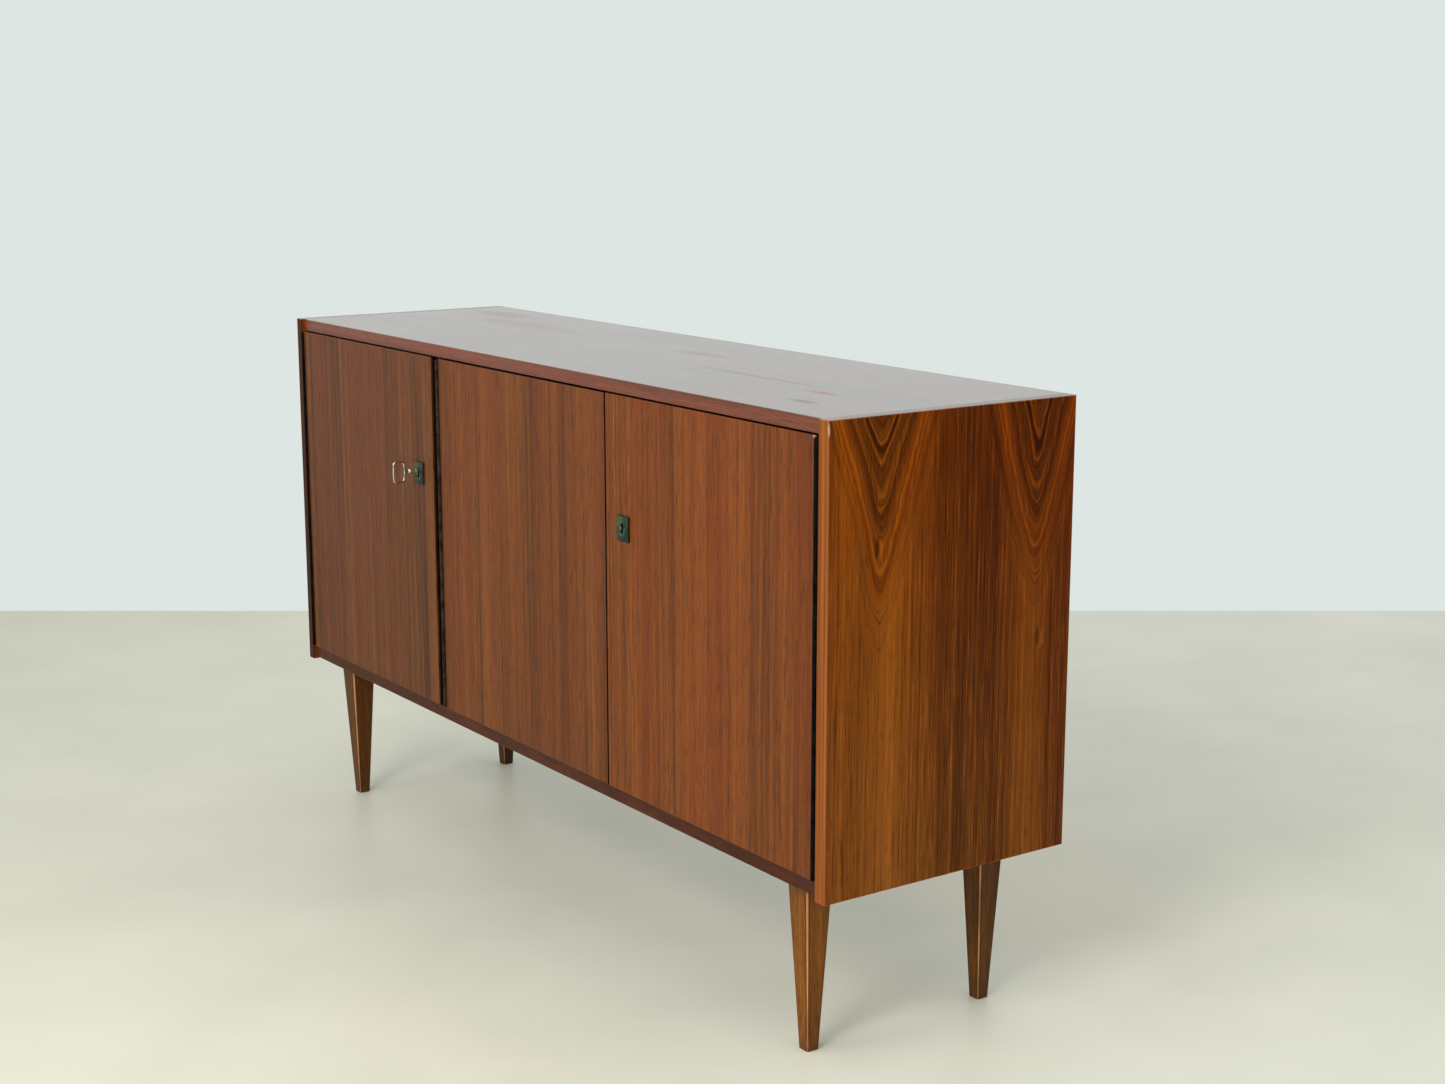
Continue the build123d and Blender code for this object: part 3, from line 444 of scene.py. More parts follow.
def plateLook(name, box):
    # verdigris: bronze where hands have rubbed it, towards the upper left, teal below; painted shade along the
    # right edge and thinly at the top and foot, and painted black inside the keyhole
    look, tree, shader, position = newLook(name)
    x, y, z = split(tree, position)
    width, tall = remap(tree, x, box[0][0], box[1][0]), remap(tree, z, box[0][2], box[1][2])
    cloud = noise(tree, position, plateShape["cloudFineness"], 5, 0.62)
    grit = noise(tree, position, plateShape["gritFineness"], 3, 0.6)
    upperLeft = calc(tree, "SUBTRACT", tall, width)
    rubbed = calc(tree, "MULTIPLY_ADD", upperLeft, plateShape["bronzeLean"], cloud)
    rubbed = remap(tree, rubbed, *plateShape["bronzeRange"])
    colour = mixColour(tree, rubbed, plateShape["teal"], plateShape["bronze"])
    middle = ((box[0][0] + box[1][0]) / 2, box[0][1], box[0][2] + plateShape["paleRise"])
    aroundHole = spot(tree, position, middle, plateShape["paleSize"], 0.3)
    flaked = calc(tree, "MULTIPLY", aroundHole, remap(tree, cloud, 0.42, 0.56))
    colour = mixColour(tree, calc(tree, "MULTIPLY", flaked, 0.6), colour, plateShape["pale"])
    # painted shade: the right edge, and more thinly the top and the foot, darken towards black
    topShade = remap(tree, tall, *plateShape["shadeTop"], 0.0, 0.7)
    shade = calc(tree, "MAXIMUM", remap(tree, width, *plateShape["shadeRight"]), topShade)
    shade = calc(tree, "MAXIMUM", shade, remap(tree, tall, *plateShape["shadeFoot"], 0.0, 0.7))
    colour = mixColour(tree, calc(tree, "MULTIPLY", shade, 0.92), colour, plateShape["dark"])
    # painted shade: the keyhole's inner walls are painted near-black
    fromMiddle = calc(tree, "ABSOLUTE", calc(tree, "SUBTRACT", x, middle[0]))
    belowFace = remap(tree, y, *(box[0][1] + depth for depth in plateShape["holeDepth"]))
    holeShade = calc(tree, "MULTIPLY", remap(tree, fromMiddle, *plateShape["holeHalfWidth"]), belowFace)
    colour = mixColour(tree, holeShade, colour, plateShape["hole"])
    rough = calc(tree, "MULTIPLY_ADD", cloud, 0.3, 0.32)
    height = calc(tree, "MULTIPLY_ADD", cloud, 1.5, grit)
    relief = {"Height": height, "Strength": plateShape["bump"], "Distance": plateShape["bumpDepth"]}
    plug(tree, shader, {
        "Base Color": colour, "Metallic": calc(tree, "MULTIPLY_ADD", shade, -0.2, 0.22),
        "Specular IOR Level": 0.2, "Roughness": rough,
        "Normal": put(tree, "ShaderNodeBump", relief).outputs[0],
    })
    return look


metals = {
    "hinge": metalLook("hingeSteel", tone(26, 25, 24), tone(16, 14, 13), (0.5, 0.25)),
    "middleHinge": metalLook("middleHingeSteel", tone(74, 58, 50), tone(46, 34, 28), (0.5, 0.25)),
    "hingeScrew": metalLook("hingeScrewSteel", tone(92, 86, 72), tone(48, 44, 38), (0.38, 0.25)),
    "screw": metalLook("screwSteel", tone(150, 148, 140), tone(96, 90, 78), (0.3, 0.25)),
    "lock": metalLook("lockSteel", tone(126, 124, 118), tone(84, 78, 68), (0.35, 0.25)),
    "brass": metalLook("lockBrass", tone(176, 142, 84), tone(110, 84, 48), (0.3, 0.25)),
    "patina": metalLook(
        "keyPlatePatina", tone(34, 62, 56), tone(72, 84, 56), (0.36, 0.3), 160, (0.42, 0.6), 0.35, 0.75,
    ),
    "key": metalLook("keyBrass", tone(222, 216, 202), tone(140, 126, 100), (0.2, 0.2), 170, (0.46, 0.64)),
}


def dress(node, look):
    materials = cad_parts[node].data.materials
    materials.clear()
    materials.append(look)


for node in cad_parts:
    if node.startswith("hinge"):
        dress(node, metals["middleHinge" if "middle" in node else "hinge"])
    elif node.startswith("key_plate"):  # the nails take their plate's tones
        dress(node, plateLook("patina_" + node, boxOf(node.removesuffix("_nails"))))
    elif node == "key":
        dress(node, metals["key"])
    elif node.endswith("screws") or node in ("leg_studs", "leg_inserts") or node.startswith("shelf_pins"):
        dress(node, metals["screw"])
    elif node.startswith("lock"):
        dress(node, metals["lock"])
    elif node.startswith(("strike", "slide")):
        dress(node, metals["brass"])

doors = {
    "lipping": {"left": 0.005, "middle": 0.0004, "right": 0.0045},
    "fade": {"left": 0.0045, "middle": 0.0004, "right": 0.003},
    "keyhole": {"left": "key_plate_left", "right": "key_plate_right"},
    "keyholeDepth": 0.008, "keyholeReach": (0.0075, 0.02, 0.0115),
    # a near-black colour of painted shade, for the gaps between the doors and inside the keyholes
    "stainAndShade": tone(9, 5, 4), "shadedEdgeReach": (0.0004, 0.0001),
    "middleEdge": (0.022, -0.012), "middleEdgeColour": tone(88, 52, 36),
    "left": {
        "shift": (3.1, 0, 0.4), "cast": (0.9, 0.89, 0.71, 1.0), "tint": tone(117, 58, 32),
        "stops": [
            (0.0, tone(77, 41, 19)), (0.35, tone(100, 55, 26)), (0.65, tone(115, 65, 33)), (1.0, tone(130, 78, 42)),
        ],
    },
    "middle": {"shift": (7.7, 0, 0.1), "cast": (0.8, 0.95, 0.72, 1.0)},
    "right": {"shift": (1.3, 0, 0.9), "cast": (0.91, 0.98, 0.61, 1.0)},
    "cornerMarks": [  # from the right door's upper right corner: a dark stain and a chip
        ((-0.011, 0.0, -0.004), (0.01, 0.01, 0.005), tone(70, 62, 40), 0.6),
        ((-0.001, 0.0, -0.001), (0.004, 0.004, 0.003), tone(190, 150, 110), 0.9),
    ],
}


def doorMarks(name, box):
    # painted shade: behind the lipping the door edges are painted near-black, where shade falls in the gaps between
    # the doors
    behind = box[0][1] + doors["lipping"][name]

    def paintedGapShade(tree, position, base):
        x, y, z = split(tree, position)
        toLeft = calc(tree, "SUBTRACT", x, box[0][0])
        toRight = calc(tree, "SUBTRACT", box[1][0], x)
        toBottom = calc(tree, "SUBTRACT", z, box[0][2])
        toTop = calc(tree, "SUBTRACT", box[1][2], z)
        toSide, toEnd = calc(tree, "MINIMUM", toLeft, toRight), calc(tree, "MINIMUM", toBottom, toTop)
        onEdge = remap(tree, calc(tree, "MINIMUM", toSide, toEnd), *doors["shadedEdgeReach"])
        deep = remap(tree, y, behind - doors["fade"][name], behind)
        return mixColour(tree, calc(tree, "MULTIPLY", onEdge, deep), base, doors["stainAndShade"])

    marks = [paintedGapShade]
    if name in doors["keyhole"]:  # painted shade: the bored keyhole is painted black inside, where shade falls
        low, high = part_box(doors["keyhole"][name])
        middle = ((low[0] + high[0]) / 2, box[0][1] + doors["keyholeDepth"], (low[2] + high[2]) / 2)
        marks.append(patch(middle, doors["keyholeReach"], doors["stainAndShade"], 1.0))
    if name == "middle":
        start, stop = (box[0][0] + reach for reach in doors["middleEdge"])
        marks.append(darkEdge(0, start, stop, doors["middleEdgeColour"]))
    if name == "right":
        corner = (box[1][0], box[0][1], box[1][2])
        for shift, size, colour, amount in doors["cornerMarks"]:
            place = tuple(c + away for c, away in zip(corner, shift))
            marks.append(patch(place, size, colour, amount))
    return marks


for name in ("left", "middle", "right"):
    box = boxOf("door_" + name)
    spec = changed(doorWood, **doors[name])
    dress("door_" + name, straightWood("teakDoor" + name.title(), spec, box, doorMarks(name, box)))

sides = {
    "left": {"strip": (tone(78, 43, 27), tone(62, 33, 20), 1.0)},
    "right": {"strip": (tone(166, 96, 46), tone(128, 70, 36), 0.9)},  # this one's lipping has faded
    "chipDrop": 0.012, "chipSize": (0.002, 0.003, 0.012), "chip": tone(206, 166, 128),
}
for name in ("left", "right"):
    box = boxOf("side_" + name)
    marks = [frontStrip(box, *sides[name]["strip"])]
    if name == "right":  # and its top corner is chipped
        chipPlace = (box[1][0], box[0][1], box[1][2] - sides["chipDrop"])
        marks.append(patch(chipPlace, sides["chipSize"], sides["chip"], 0.8))
    dress("side_" + name, walnutSide("walnutSide" + name.title(), box, marks))

# worn places on the top, as x and y, reach, colour and amount
topWear = {
    "streak": ((0.551, -0.032), (0.042, 0.008), tone(200, 104, 48), 0.75),
    "longStreak": ((0.36, 0.0), (0.2, 0.006), tone(158, 86, 54), 0.42),
    "stainAndShade": ((0.6, -0.1), (0.04, 0.012), tone(96, 66, 48), 0.45),
    "dullLeft": ((-0.42, 0.09), (0.2, 0.05), tone(150, 84, 56), 0.16),
    "dullFar": ((-0.6, 0.15), (0.1, 0.04), tone(150, 84, 56), 0.2),
    "dullMiddle": ((0.1, 0.09), (0.09, 0.02), tone(150, 84, 56), 0.22),
}
topSpots = [((*at, 0.838), (*reach, 0.01), colour, amount) for at, reach, colour, amount in topWear.values()]
topPatches = [patch(*spotted) for spotted in topSpots]
topDull = [(place, size, amount) for place, size, colour, amount in topSpots]
dress("top_panel", straightWood("teakTop", topWood, boxOf("top_panel"), topPatches, topDull))

bottomWood = changed(
    doorWood, along=0, across=1, shift=(2, 0.3, 0), tintAmount=0.3, cast=(0.42, 0.4, 0.42, 1.0),
)
dress("bottom_panel", straightWood("teakBottom", bottomWood, boxOf("bottom_panel")))

# painted shade: the divider's front edge is painted dark, where it lies in the shade of the gap between two doors
dividerGapShade = {"start": 0.012, "stop": 0.006, "colour": tone(16, 12, 10)}
dividerWood = changed(insideWood, along=2, across=1, specular=0.1)
dividerBox = boxOf("divider")
start, stop = (dividerBox[0][1] + dividerGapShade[end] for end in ("start", "stop"))
dividerShade = darkEdge(1, start, stop, dividerGapShade["colour"])
dress("divider", straightWood("teakDivider", dividerWood, dividerBox, [dividerShade]))
for name in ("left", "right"):
    node = "shelf_" + name
    dress(node, straightWood("teakShelf" + name.title(), changed(insideWood, shift=(1, 0.7, 0)), boxOf(node)))
dress("back_panel", straightWood("backPly", plyWood, boxOf("back_panel")))
dress("door_stops", straightWood("beechStops", beechWood))
dress("dowels", straightWood("beechDowels", beechWood))
for number, node in enumerate(("leg_front_left", "leg_front_right", "leg_back_left", "leg_back_right")):
    dress(node, legLook("teakLeg" + str(number), boxOf(node), number))
print("finishes on the frame's own pieces")


def ringLoop(mesh, loops, closed):
    # skins loops of points into one closed surface
    rows = [[mesh.verts.new(point) for point in loop] for loop in loops]
    last = len(rows) if closed else len(rows) - 1
    for i in range(last):
        here, ahead = rows[i], rows[(i + 1) % len(rows)]
        for j in range(len(here)):
            k = (j + 1) % len(here)
            mesh.faces.new((here[j], here[k], ahead[k], ahead[j]))
    if not closed:
        mesh.faces.new(rows[0][::-1])
        mesh.faces.new(rows[-1])


def sweptWire(mesh, path, axis, radii, sides=12):
    # a wire of oval section along a closed path that lies in the plane across axis
    loops = []
    for i, point in enumerate(path):
        tangent = (path[(i + 1) % len(path)] - path[i - 1]).normalized()
        outward = tangent.cross(axis)
        turns = [2 * math.pi * j / sides for j in range(sides)]
        loops.append([
            point + outward * (radii[0] * math.cos(a)) + axis * (radii[1] * math.sin(a)) for a in turns
        ])
    ringLoop(mesh, loops, True)


def turnedPart(mesh, profile, centre, sides=28):
    # a part turned about a line along Y: pairs of radius and y
    turns = [2 * math.pi * j / sides for j in range(sides)]
    loops = [
        [Vector((centre[0] + r * math.cos(a), y, centre[1] + r * math.sin(a))) for a in turns]
        for r, y in profile
    ]
    ringLoop(mesh, loops, False)


def finishPiece(name, mesh, look, body, replaced=(), smooth=35):
    bmesh.ops.recalc_face_normals(mesh, faces=mesh.faces)
    data = bpy.data.meshes.new(name)
    mesh.to_mesh(data)
    mesh.free()
    return keepPiece(name, data, look, body, replaced, smooth)


def keepPiece(name, data, look, body, replaced=(), smooth=35):
    data.materials.clear()
    data.materials.append(look)
    data.shade_smooth()
    data.set_sharp_from_angle(angle=math.radians(smooth))
    piece = bpy.data.objects.new(name, data)
    bpy.context.scene.collection.objects.link(piece)
    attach(piece, body)
    if replaced:
        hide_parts(*replaced)
    return piece


keyShape = {
    "bowWidth": 0.022, "bowHeight": 0.0355, "bowFullness": 5.2, "bowPoints": 72,
    "dip": 0.0016, "dipReach": 0.016, "wire": (0.00165, 0.0017), "ball": 0.0044, "ballAt": 0.0172,
    "neck": 0.0021, "shaft": 0.0025, "collar": 0.0031, "collarAt": (0.0085, 0.008, 0.0068, 0.0063),
    "tipBevel": 0.0006, "bit": (0.0022, 0.004, 0.007), "bitFoot": 0.008,
}


def makeKey():
    low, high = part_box("key")
    x, z = (low[0] + high[0]) / 2, (low[2] + high[2]) / 2
    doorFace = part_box("door_left")[0][1]
    bowMiddle = low[1] + keyShape["bowWidth"] / 2
    halfWidth = keyShape["bowWidth"] / 2 - keyShape["wire"][0]
    halfHeight = keyShape["bowHeight"] / 2 - keyShape["wire"][0]
    path = []
    for i in range(keyShape["bowPoints"]):
        turn = 2 * math.pi * i / keyShape["bowPoints"]
        c, s = math.cos(turn), math.sin(turn)
        power = 2 / keyShape["bowFullness"]
        y = bowMiddle + halfWidth * math.copysign(abs(c) ** power, c)
        up = halfHeight * math.copysign(abs(s) ** power, s)
        if c > 0:  # the side next to the shaft runs to a shallow point at the ball
            y += keyShape["dip"] * (max(0.0, 1 - abs(up) / keyShape["dipReach"]) - 0.5)
        path.append(Vector((x, y, z + up)))
    mesh = bmesh.new()
    sweptWire(mesh, path, Vector((1, 0, 0)), keyShape["wire"])
    # from the bow to the tip: neck, ball, shaft, collar and shaft again
    ball, at = keyShape["ball"], doorFace - keyShape["ballAt"]
    neck, shaft, collar, bevel = (keyShape[part] for part in ("neck", "shaft", "collar", "tipBevel"))
    collarAt = [doorFace - reach for reach in keyShape["collarAt"]]
    bowSide = bowMiddle + halfWidth
    profile = [(0.0004, bowSide), (neck, bowSide + 0.0002), (neck, at - ball * 0.86)]
    for degrees in range(-60, 61, 15):
        a = math.radians(degrees)
        profile.append((ball * math.cos(a), at + ball * math.sin(a)))
    profile += [(shaft, at + ball * 0.95), (shaft, collarAt[0]), (collar, collarAt[1])]
    profile += [(collar, collarAt[2]), (shaft, collarAt[3])]
    profile += [(shaft, high[1] - bevel), (shaft - bevel, high[1])]
    turnedPart(mesh, profile, (x, z))
    # the bit hangs below the shaft, in the middle of the bolt that it throws
    thick, wide, tall = keyShape["bit"]
    boltLow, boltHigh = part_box("lock_left_bolt")
    bitPlace = Vector((x, (boltLow[1] + boltHigh[1]) / 2, z - keyShape["bitFoot"]))
    for corner in bmesh.ops.create_cube(mesh, size=1.0)["verts"]:
        corner.co = bitPlace + Vector((corner.co.x * thick, corner.co.y * wide, (corner.co.z + 0.5) * tall))
    finishPiece("wireKey", mesh, metals["key"], "key", ["key"])


rimShape = {
    "head": 0.0041, "foot": 0.0036, "drop": 0.0092, "waist": 0.0025, "waistAt": 0.46, "waistReach": 0.17,
    "section": (0.0006, 0.0004), "points": 64, "squareness": 0.75, "aboveNails": 0.00594,
}


def makeKeyholeRims():
    # the plate's metal is drawn up into a low rim round the keyhole
    headRadius, footRadius, drop = rimShape["head"], rimShape["foot"], rimShape["drop"]
    for name in ("left", "right"):
        low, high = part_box("key_plate_" + name)
        x = (low[0] + high[0]) / 2
        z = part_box("key_plate_" + name + "_nails")[0][2] + rimShape["aboveNails"]
        middle = z - drop / 2 + (headRadius - footRadius) / 2
        half = (drop + headRadius + footRadius) / 2
        path = []
        for i in range(rimShape["points"]):
            turn = 2 * math.pi * i / rimShape["points"]
            up, out = math.cos(turn), math.sin(turn)
            level = (up + 1) / 2
            full = footRadius + (headRadius - footRadius) * level
            pinch = math.exp(-((level - rimShape["waistAt"]) / rimShape["waistReach"]) ** 2)
            across = full - (full - rimShape["waist"]) * pinch
            across *= math.copysign(abs(out) ** rimShape["squareness"], out)
            path.append(Vector((x + across, low[1], middle + half * up)))
        mesh = bmesh.new()
        sweptWire(mesh, path, Vector((0, 1, 0)), rimShape["section"], 10)
        label = "keyholeRim" + name.title()
        finishPiece(label, mesh, metals["patina"], "door_" + name, ())


def slottedScrewTree():
    # a slotted screw on each point, along the point's facing and turned at random about it
    tree = bpy.data.node_groups.new("slottedScrews", "GeometryNodeTree")
    tree.interface.new_socket("Geometry", in_out="OUTPUT", socket_type="NodeSocketGeometry")
    tree.interface.new_socket("Places", in_out="INPUT", socket_type="NodeSocketGeometry")
    for label in (
        "Rim Radius", "Root Radius", "Head Depth", "Rise",
        "Shank Radius", "Length", "Slot Width", "Slot Depth",
    ):
        tree.interface.new_socket(label, in_out="INPUT", socket_type="NodeSocketFloat")
    tree.interface.new_socket("Seed", in_out="INPUT", socket_type="NodeSocketInt")
    tree.interface.new_socket("Finish", in_out="INPUT", socket_type="NodeSocketMaterial")
    given = tree.nodes.new("NodeGroupInput").outputs
    headFoot = calc(tree, "SUBTRACT", given["Rise"], given["Head Depth"])
    head = put(tree, "GeometryNodeMeshCone", {
        "Vertices": 20, "Radius Top": given["Rim Radius"],
        "Radius Bottom": given["Root Radius"], "Depth": given["Head Depth"],
    }).outputs["Mesh"]
    lower = join(tree, 0.0, 0.0, headFoot)
    head = put(tree, "GeometryNodeTransform", {"Geometry": head, "Translation": lower}).outputs[0]
    slotSize = join(
        tree, calc(tree, "MULTIPLY", given["Rim Radius"], 3.0), given["Slot Width"],
        calc(tree, "MULTIPLY", given["Slot Depth"], 2.0),
    )
    slot = put(tree, "GeometryNodeMeshCube", {"Size": slotSize}).outputs["Mesh"]
    slotPlace = join(tree, 0.0, 0.0, given["Rise"])
    slot = put(tree, "GeometryNodeTransform", {"Geometry": slot, "Translation": slotPlace}).outputs[0]
    cut = {"Mesh 1": head, "Mesh 2": slot}
    cutHead = put(tree, "GeometryNodeMeshBoolean", cut, operation="DIFFERENCE").outputs["Mesh"]
    shank = put(tree, "GeometryNodeMeshCone", {
        "Vertices": 12, "Radius Top": given["Shank Radius"], "Depth": given["Length"],
        "Radius Bottom": calc(tree, "MULTIPLY", given["Shank Radius"], 0.3),
    }).outputs["Mesh"]
    sunk = join(tree, 0.0, 0.0, calc(tree, "SUBTRACT", headFoot, given["Length"]))
    shank = put(tree, "GeometryNodeTransform", {"Geometry": shank, "Translation": sunk}).outputs[0]
    screw = tree.nodes.new("GeometryNodeJoinGeometry")
    tree.links.new(cutHead, screw.inputs[0])
    tree.links.new(shank, screw.inputs[0])
    kept = put(tree, "GeometryNodeInputNamedAttribute", {"Name": "facing"}, data_type="FLOAT_VECTOR")
    facing = kept.outputs["Attribute"]
    upright = put(tree, "FunctionNodeAlignRotationToVector", {"Vector": facing}, axis="Z").outputs[0]
    placed = put(tree, "GeometryNodeInstanceOnPoints", {
        "Points": given["Places"], "Instance": screw.outputs[0], "Rotation": upright,
    }).outputs[0]
    chance = put(tree, "FunctionNodeRandomValue", {"Max": math.tau, "Seed": given["Seed"]}, data_type="FLOAT")
    driven = join(tree, 0.0, 0.0, chance.outputs["Value"])
    turned = put(tree, "GeometryNodeRotateInstances", {"Instances": placed, "Rotation": driven}).outputs[0]
    real = put(tree, "GeometryNodeRealizeInstances", {"Geometry": turned}).outputs[0]
    dressed = put(tree, "GeometryNodeSetMaterial", {"Geometry": real, "Material": given["Finish"]}).outputs[0]
    tree.links.new(dressed, tree.nodes.new("NodeGroupOutput").inputs[0])
    return tree


flushScrew = {"Rise": 0.0, "Slot Width": 0.0007, "Slot Depth": 0.0007}
panScrew = {
    "Rim Radius": 0.0021, "Root Radius": 0.0032, "Head Depth": 0.0018, "Rise": 0.0018, "Shank Radius": 0.0014,
    "Length": 0.005, "Slot Width": 0.0008, "Slot Depth": 0.0007,
}


def placeScrews(name, node, places, facing, sizes, body, look, seed):
    # the screws of one node as one plain mesh
    points = bpy.data.meshes.new(name)
    points.from_pydata(places, [], [])
    directions = points.attributes.new("facing", "FLOAT_VECTOR", "POINT")
    directions.data.foreach_set("vector", list(facing) * len(places))
    carrier = bpy.data.objects.new(name + "Points", points)
    bpy.context.scene.collection.objects.link(carrier)
    modifier = carrier.modifiers.new("screws", "NODES")
    modifier.node_group = screwTree
    for item in screwTree.interface.items_tree:
        if item.in_out == "INPUT" and item.name in sizes:
            modifier[item.identifier] = sizes[item.name]
        elif item.in_out == "INPUT" and item.name == "Seed":
            modifier[item.identifier] = seed
        elif item.in_out == "INPUT" and item.name == "Finish":
            modifier[item.identifier] = look
    evaluated = carrier.evaluated_get(bpy.context.evaluated_depsgraph_get())
    data = bpy.data.meshes.new_from_object(evaluated)
    data.name = name
    bpy.data.objects.remove(carrier)
    keepPiece(name, data, look, body, [node], 30)


def flushSizes(rim, shank, length):
    return {
        **flushScrew, "Rim Radius": rim, "Root Radius": shank, "Head Depth": rim - shank,
        "Shank Radius": shank, "Length": length - (rim - shank),
    }


def screwsOnEdge(name, node, count, headAtHigh, body, look, seed):
    # an upright row whose heads are flush with one x face of the node
    low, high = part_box(node)
    rim = (high[1] - low[1]) / 2
    shank = rim * (0.6 if count > 2 else 0.5)
    x = high[0] if headAtHigh else low[0]
    step = (high[2] - low[2] - 2 * rim) / (count - 1)
    places = [(x, (low[1] + high[1]) / 2, low[2] + rim + i * step) for i in range(count)]
    facing = (1 if headAtHigh else -1, 0, 0)
    placeScrews(name, node, places, facing, flushSizes(rim, shank, high[0] - low[0]), body, look, seed)


hingeScrewCount = 9
slideScrews = {"rim": 0.0022, "shank": 0.0012, "pairGap": 0.028}
backScrews = {"along": 11, "up": 5}


def makeScrews():
    for number, name in enumerate(("left", "middle", "right")):
        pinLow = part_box("hinge_" + name + "_pin")[0]
        for kind, body in (("fixed", "carcass"), ("door", "door_" + name)):
            node = "hinge_" + name + "_" + kind + "_screws"
            low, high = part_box(node)
            headAtHigh = pinLow[0] > (low[0] + high[0]) / 2
            label = "hingeScrews" + name.title() + kind.title()
            screwsOnEdge(label, node, hingeScrewCount, headAtHigh, body, metals["hingeScrew"], 11 + number)
    screwsOnEdge("foreScrewsLeft", "lock_left_screws", 2, True, "door_left", metals["screw"], 3)
    screwsOnEdge("foreScrewsRight", "lock_right_screws", 2, False, "door_right", metals["screw"], 4)
    screwsOnEdge("strikeScrewsLeft", "strike_left_screws", 2, False, "carcass", metals["screw"], 5)
    screwsOnEdge("strikeScrewsRight", "strike_right_screws", 2, True, "door_middle", metals["screw"], 6)

    low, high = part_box("slide_screws")
    rim, gap = slideScrews["rim"], slideScrews["pairGap"]
    xs = (low[0] + rim, high[0] - rim)
    zs = (low[2] + rim, low[2] + rim + gap, high[2] - rim - gap, high[2] - rim)
    places = [(x, high[1], z) for x in xs for z in zs]
    sizes = flushSizes(rim, slideScrews["shank"], high[1] - low[1])
    placeScrews("slideScrews", "slide_screws", places, (0, 1, 0), sizes, "door_middle", metals["screw"], 7)

    # the back is screwed all round and to the divider
    low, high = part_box("back_screws")
    rim = panScrew["Root Radius"]
    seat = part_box("back_panel")[1][1]
    dividerLow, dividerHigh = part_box("divider")
    along, up = backScrews["along"], backScrews["up"]
    xs = [low[0] + rim + (high[0] - low[0] - 2 * rim) * i / (along - 1) for i in range(along)]
    zs = [low[2] + rim + (high[2] - low[2] - 2 * rim) * i / (up - 1) for i in range(up)]
    places = [(x, seat, z) for x in xs for z in (zs[0], zs[-1])]
    places += [(x, seat, z) for x in (xs[0], (dividerLow[0] + dividerHigh[0]) / 2, xs[-1]) for z in zs[1:-1]]
    placeScrews("backScrews", "back_screws", places, (0, 1, 0), panScrew, "carcass", metals["screw"], 8)


screwTree = slottedScrewTree()
makeScrews()
print("screws")
makeKey()
makeKeyholeRims()
print("key and keyhole rims")

room = {
    "floorFar": 1.86, "floorNear": 6.0, "floorSide": 6.0,
    "floorColours": (tone(240, 237, 220), tone(230, 228, 211)), "floorShadeLeft": (0.83, 0.82, 0.78, 1.0),
    "floorLightFront": (1.1, 1.1, 1.09, 1.0),
    "leftFade": (-0.1, -1.5), "frontFade": (0.0, -0.65),
    "wall": tone(222, 230, 228), "overhead": (0.6, 0.62, 0.62, 1.0), "overheadRange": (0.42, 0.85),
    "strength": 1.0, "cameraX": 2.7478, "cameraBefore": 1.5531, "cameraZ": 1.2055,
    "turn": 54.967, "tilt": 11.475, "lens": 54.08,
}
turn = math.radians(room["turn"])
away = Vector((-math.sin(turn), math.cos(turn), 0))
aside = Vector((math.cos(turn), math.sin(turn), 0))
reaches = (
    (-room["floorNear"], -room["floorSide"]), (-room["floorNear"], room["floorSide"]),
    (room["floorFar"], room["floorSide"]), (room["floorFar"], -room["floorSide"]),
)
floorMesh = bpy.data.meshes.new("studioFloor")
floorMesh.from_pydata([tuple(away * f + aside * s) for f, s in reaches], [], [(0, 1, 2, 3)])
floorPiece = bpy.data.objects.new("studioFloor", floorMesh)
bpy.context.scene.collection.objects.link(floorPiece)
floorLook, floorTree, floorShader, floorPlace = newLook("paleFloor")
floorCloud = remap(floorTree, noise(floorTree, floorPlace, (3, 3, 3), 3), 0.3, 0.7)
floorColour = mixColour(floorTree, floorCloud, *room["floorColours"])
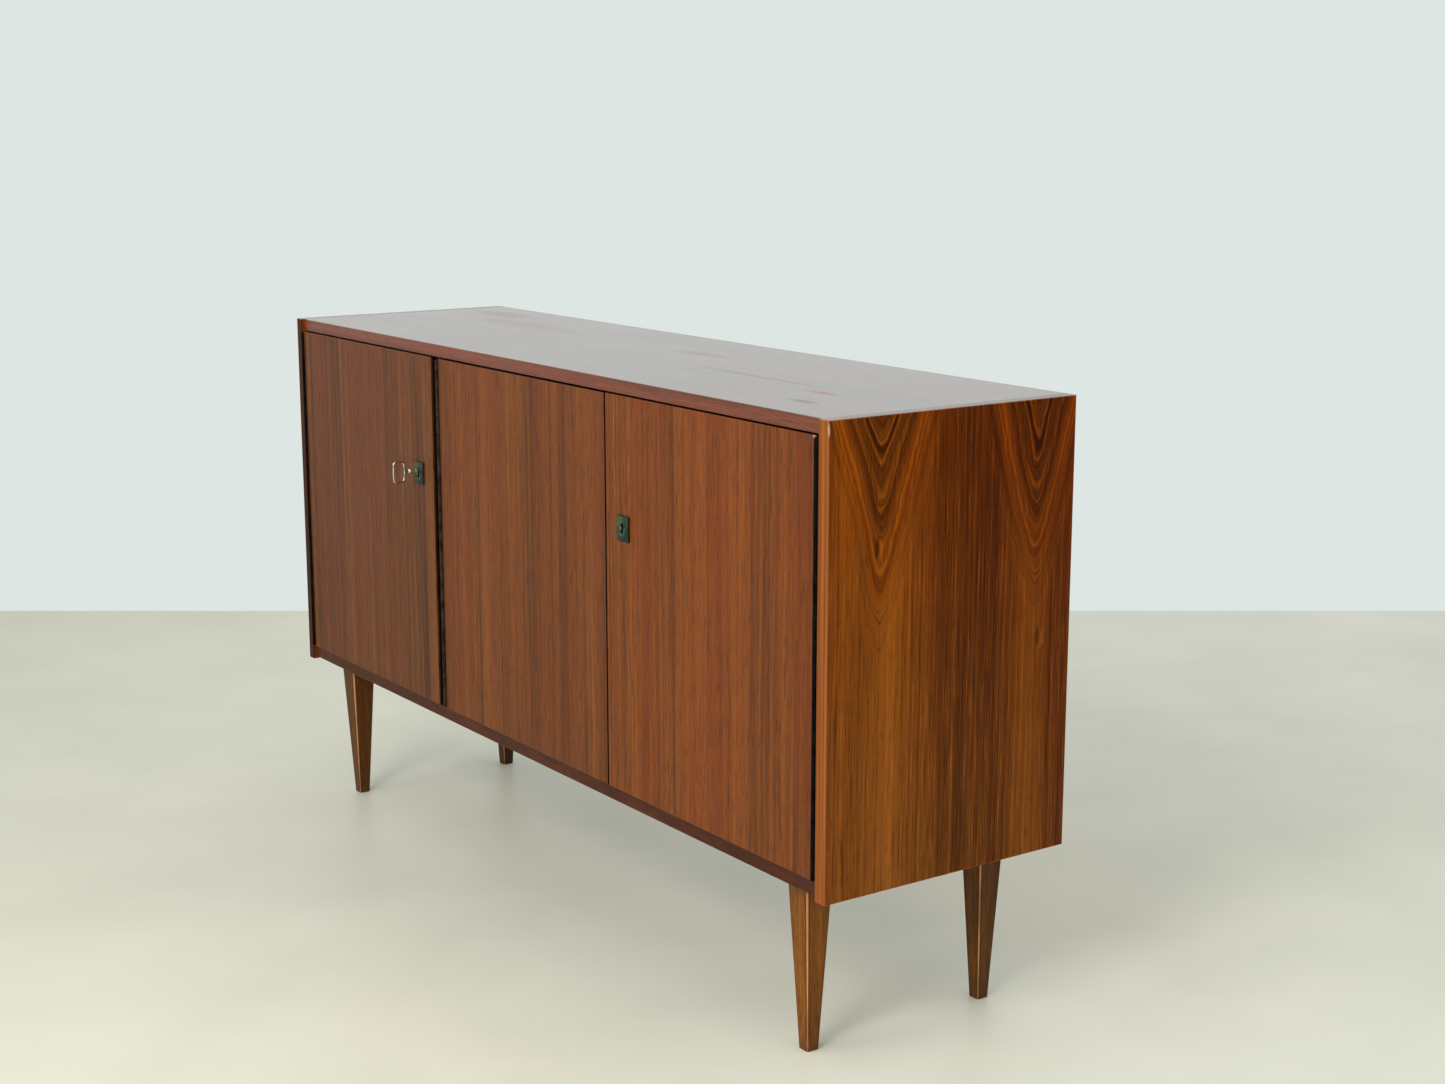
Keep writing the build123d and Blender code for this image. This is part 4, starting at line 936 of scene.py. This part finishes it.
for way, fade, shade in (
    (aside, room["leftFade"], room["floorShadeLeft"]), (away, room["frontFade"], room["floorLightFront"]),
):  # painted shade darkens the floor a little to the left, and painted light lightens it to the front
    reach = put(floorTree, "ShaderNodeVectorMath", {0: floorPlace, 1: way}, operation="DOT_PRODUCT")
    along = reach.outputs["Value"]
    shaded = mixColour(floorTree, 1.0, floorColour, shade, "MULTIPLY")
    floorColour = mixColour(floorTree, remap(floorTree, along, *fade), floorColour, shaded)
plug(floorTree, floorShader, {"Base Color": floorColour, "Roughness": 0.42, "Specular IOR Level": 0.4})
floorMesh.materials.append(floorLook)

world = bpy.data.worlds.new("studio")
bpy.context.scene.world = world
world.use_nodes = True
sky = world.node_tree
up = split(sky, put(sky, "ShaderNodeTexCoord").outputs["Generated"])[2]
height = remap(sky, up, *room["overheadRange"], 0.0, 1.0, "SMOOTHSTEP")
skyColour = mixColour(sky, height, room["wall"], room["overhead"])
plug(sky, sky.nodes["Background"], {"Color": skyColour, "Strength": room["strength"]})


def softLight(name, place, aim, size, power, colour):
    data = bpy.data.lights.new(name, "AREA")
    data.shape = "DISK"
    data.size = size
    data.energy = power
    data.color = colour
    light = bpy.data.objects.new(name, data)
    light.location = place
    light.rotation_euler = (Vector(aim) - Vector(place)).to_track_quat("-Z", "Y").to_euler()
    bpy.context.scene.collection.objects.link(light)


# place, aim, size, power and colour
softLight("keyLight", (1.9, -3.5, 2.9), (0, 0, 0.4), 1.8, 74, (1.0, 0.98, 0.94))
softLight("fillLight", (-0.6, -4.0, 2.6), (0, -0.4, 0.3), 2.5, 36, (0.97, 0.99, 1.0))

cameraData = bpy.data.cameras.new("camera")
cameraData.lens = room["lens"]
cameraData.sensor_width = 36
camera = bpy.data.objects.new("camera", cameraData)
camera.location = (room["cameraX"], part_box("door_right")[0][1] - room["cameraBefore"], room["cameraZ"])
camera.rotation_euler = (math.radians(90 - room["tilt"]), 0, turn)
bpy.context.scene.collection.objects.link(camera)
bpy.context.scene.camera = camera
bpy.context.scene.view_settings.view_transform = "Standard"
print("floor, light and camera")
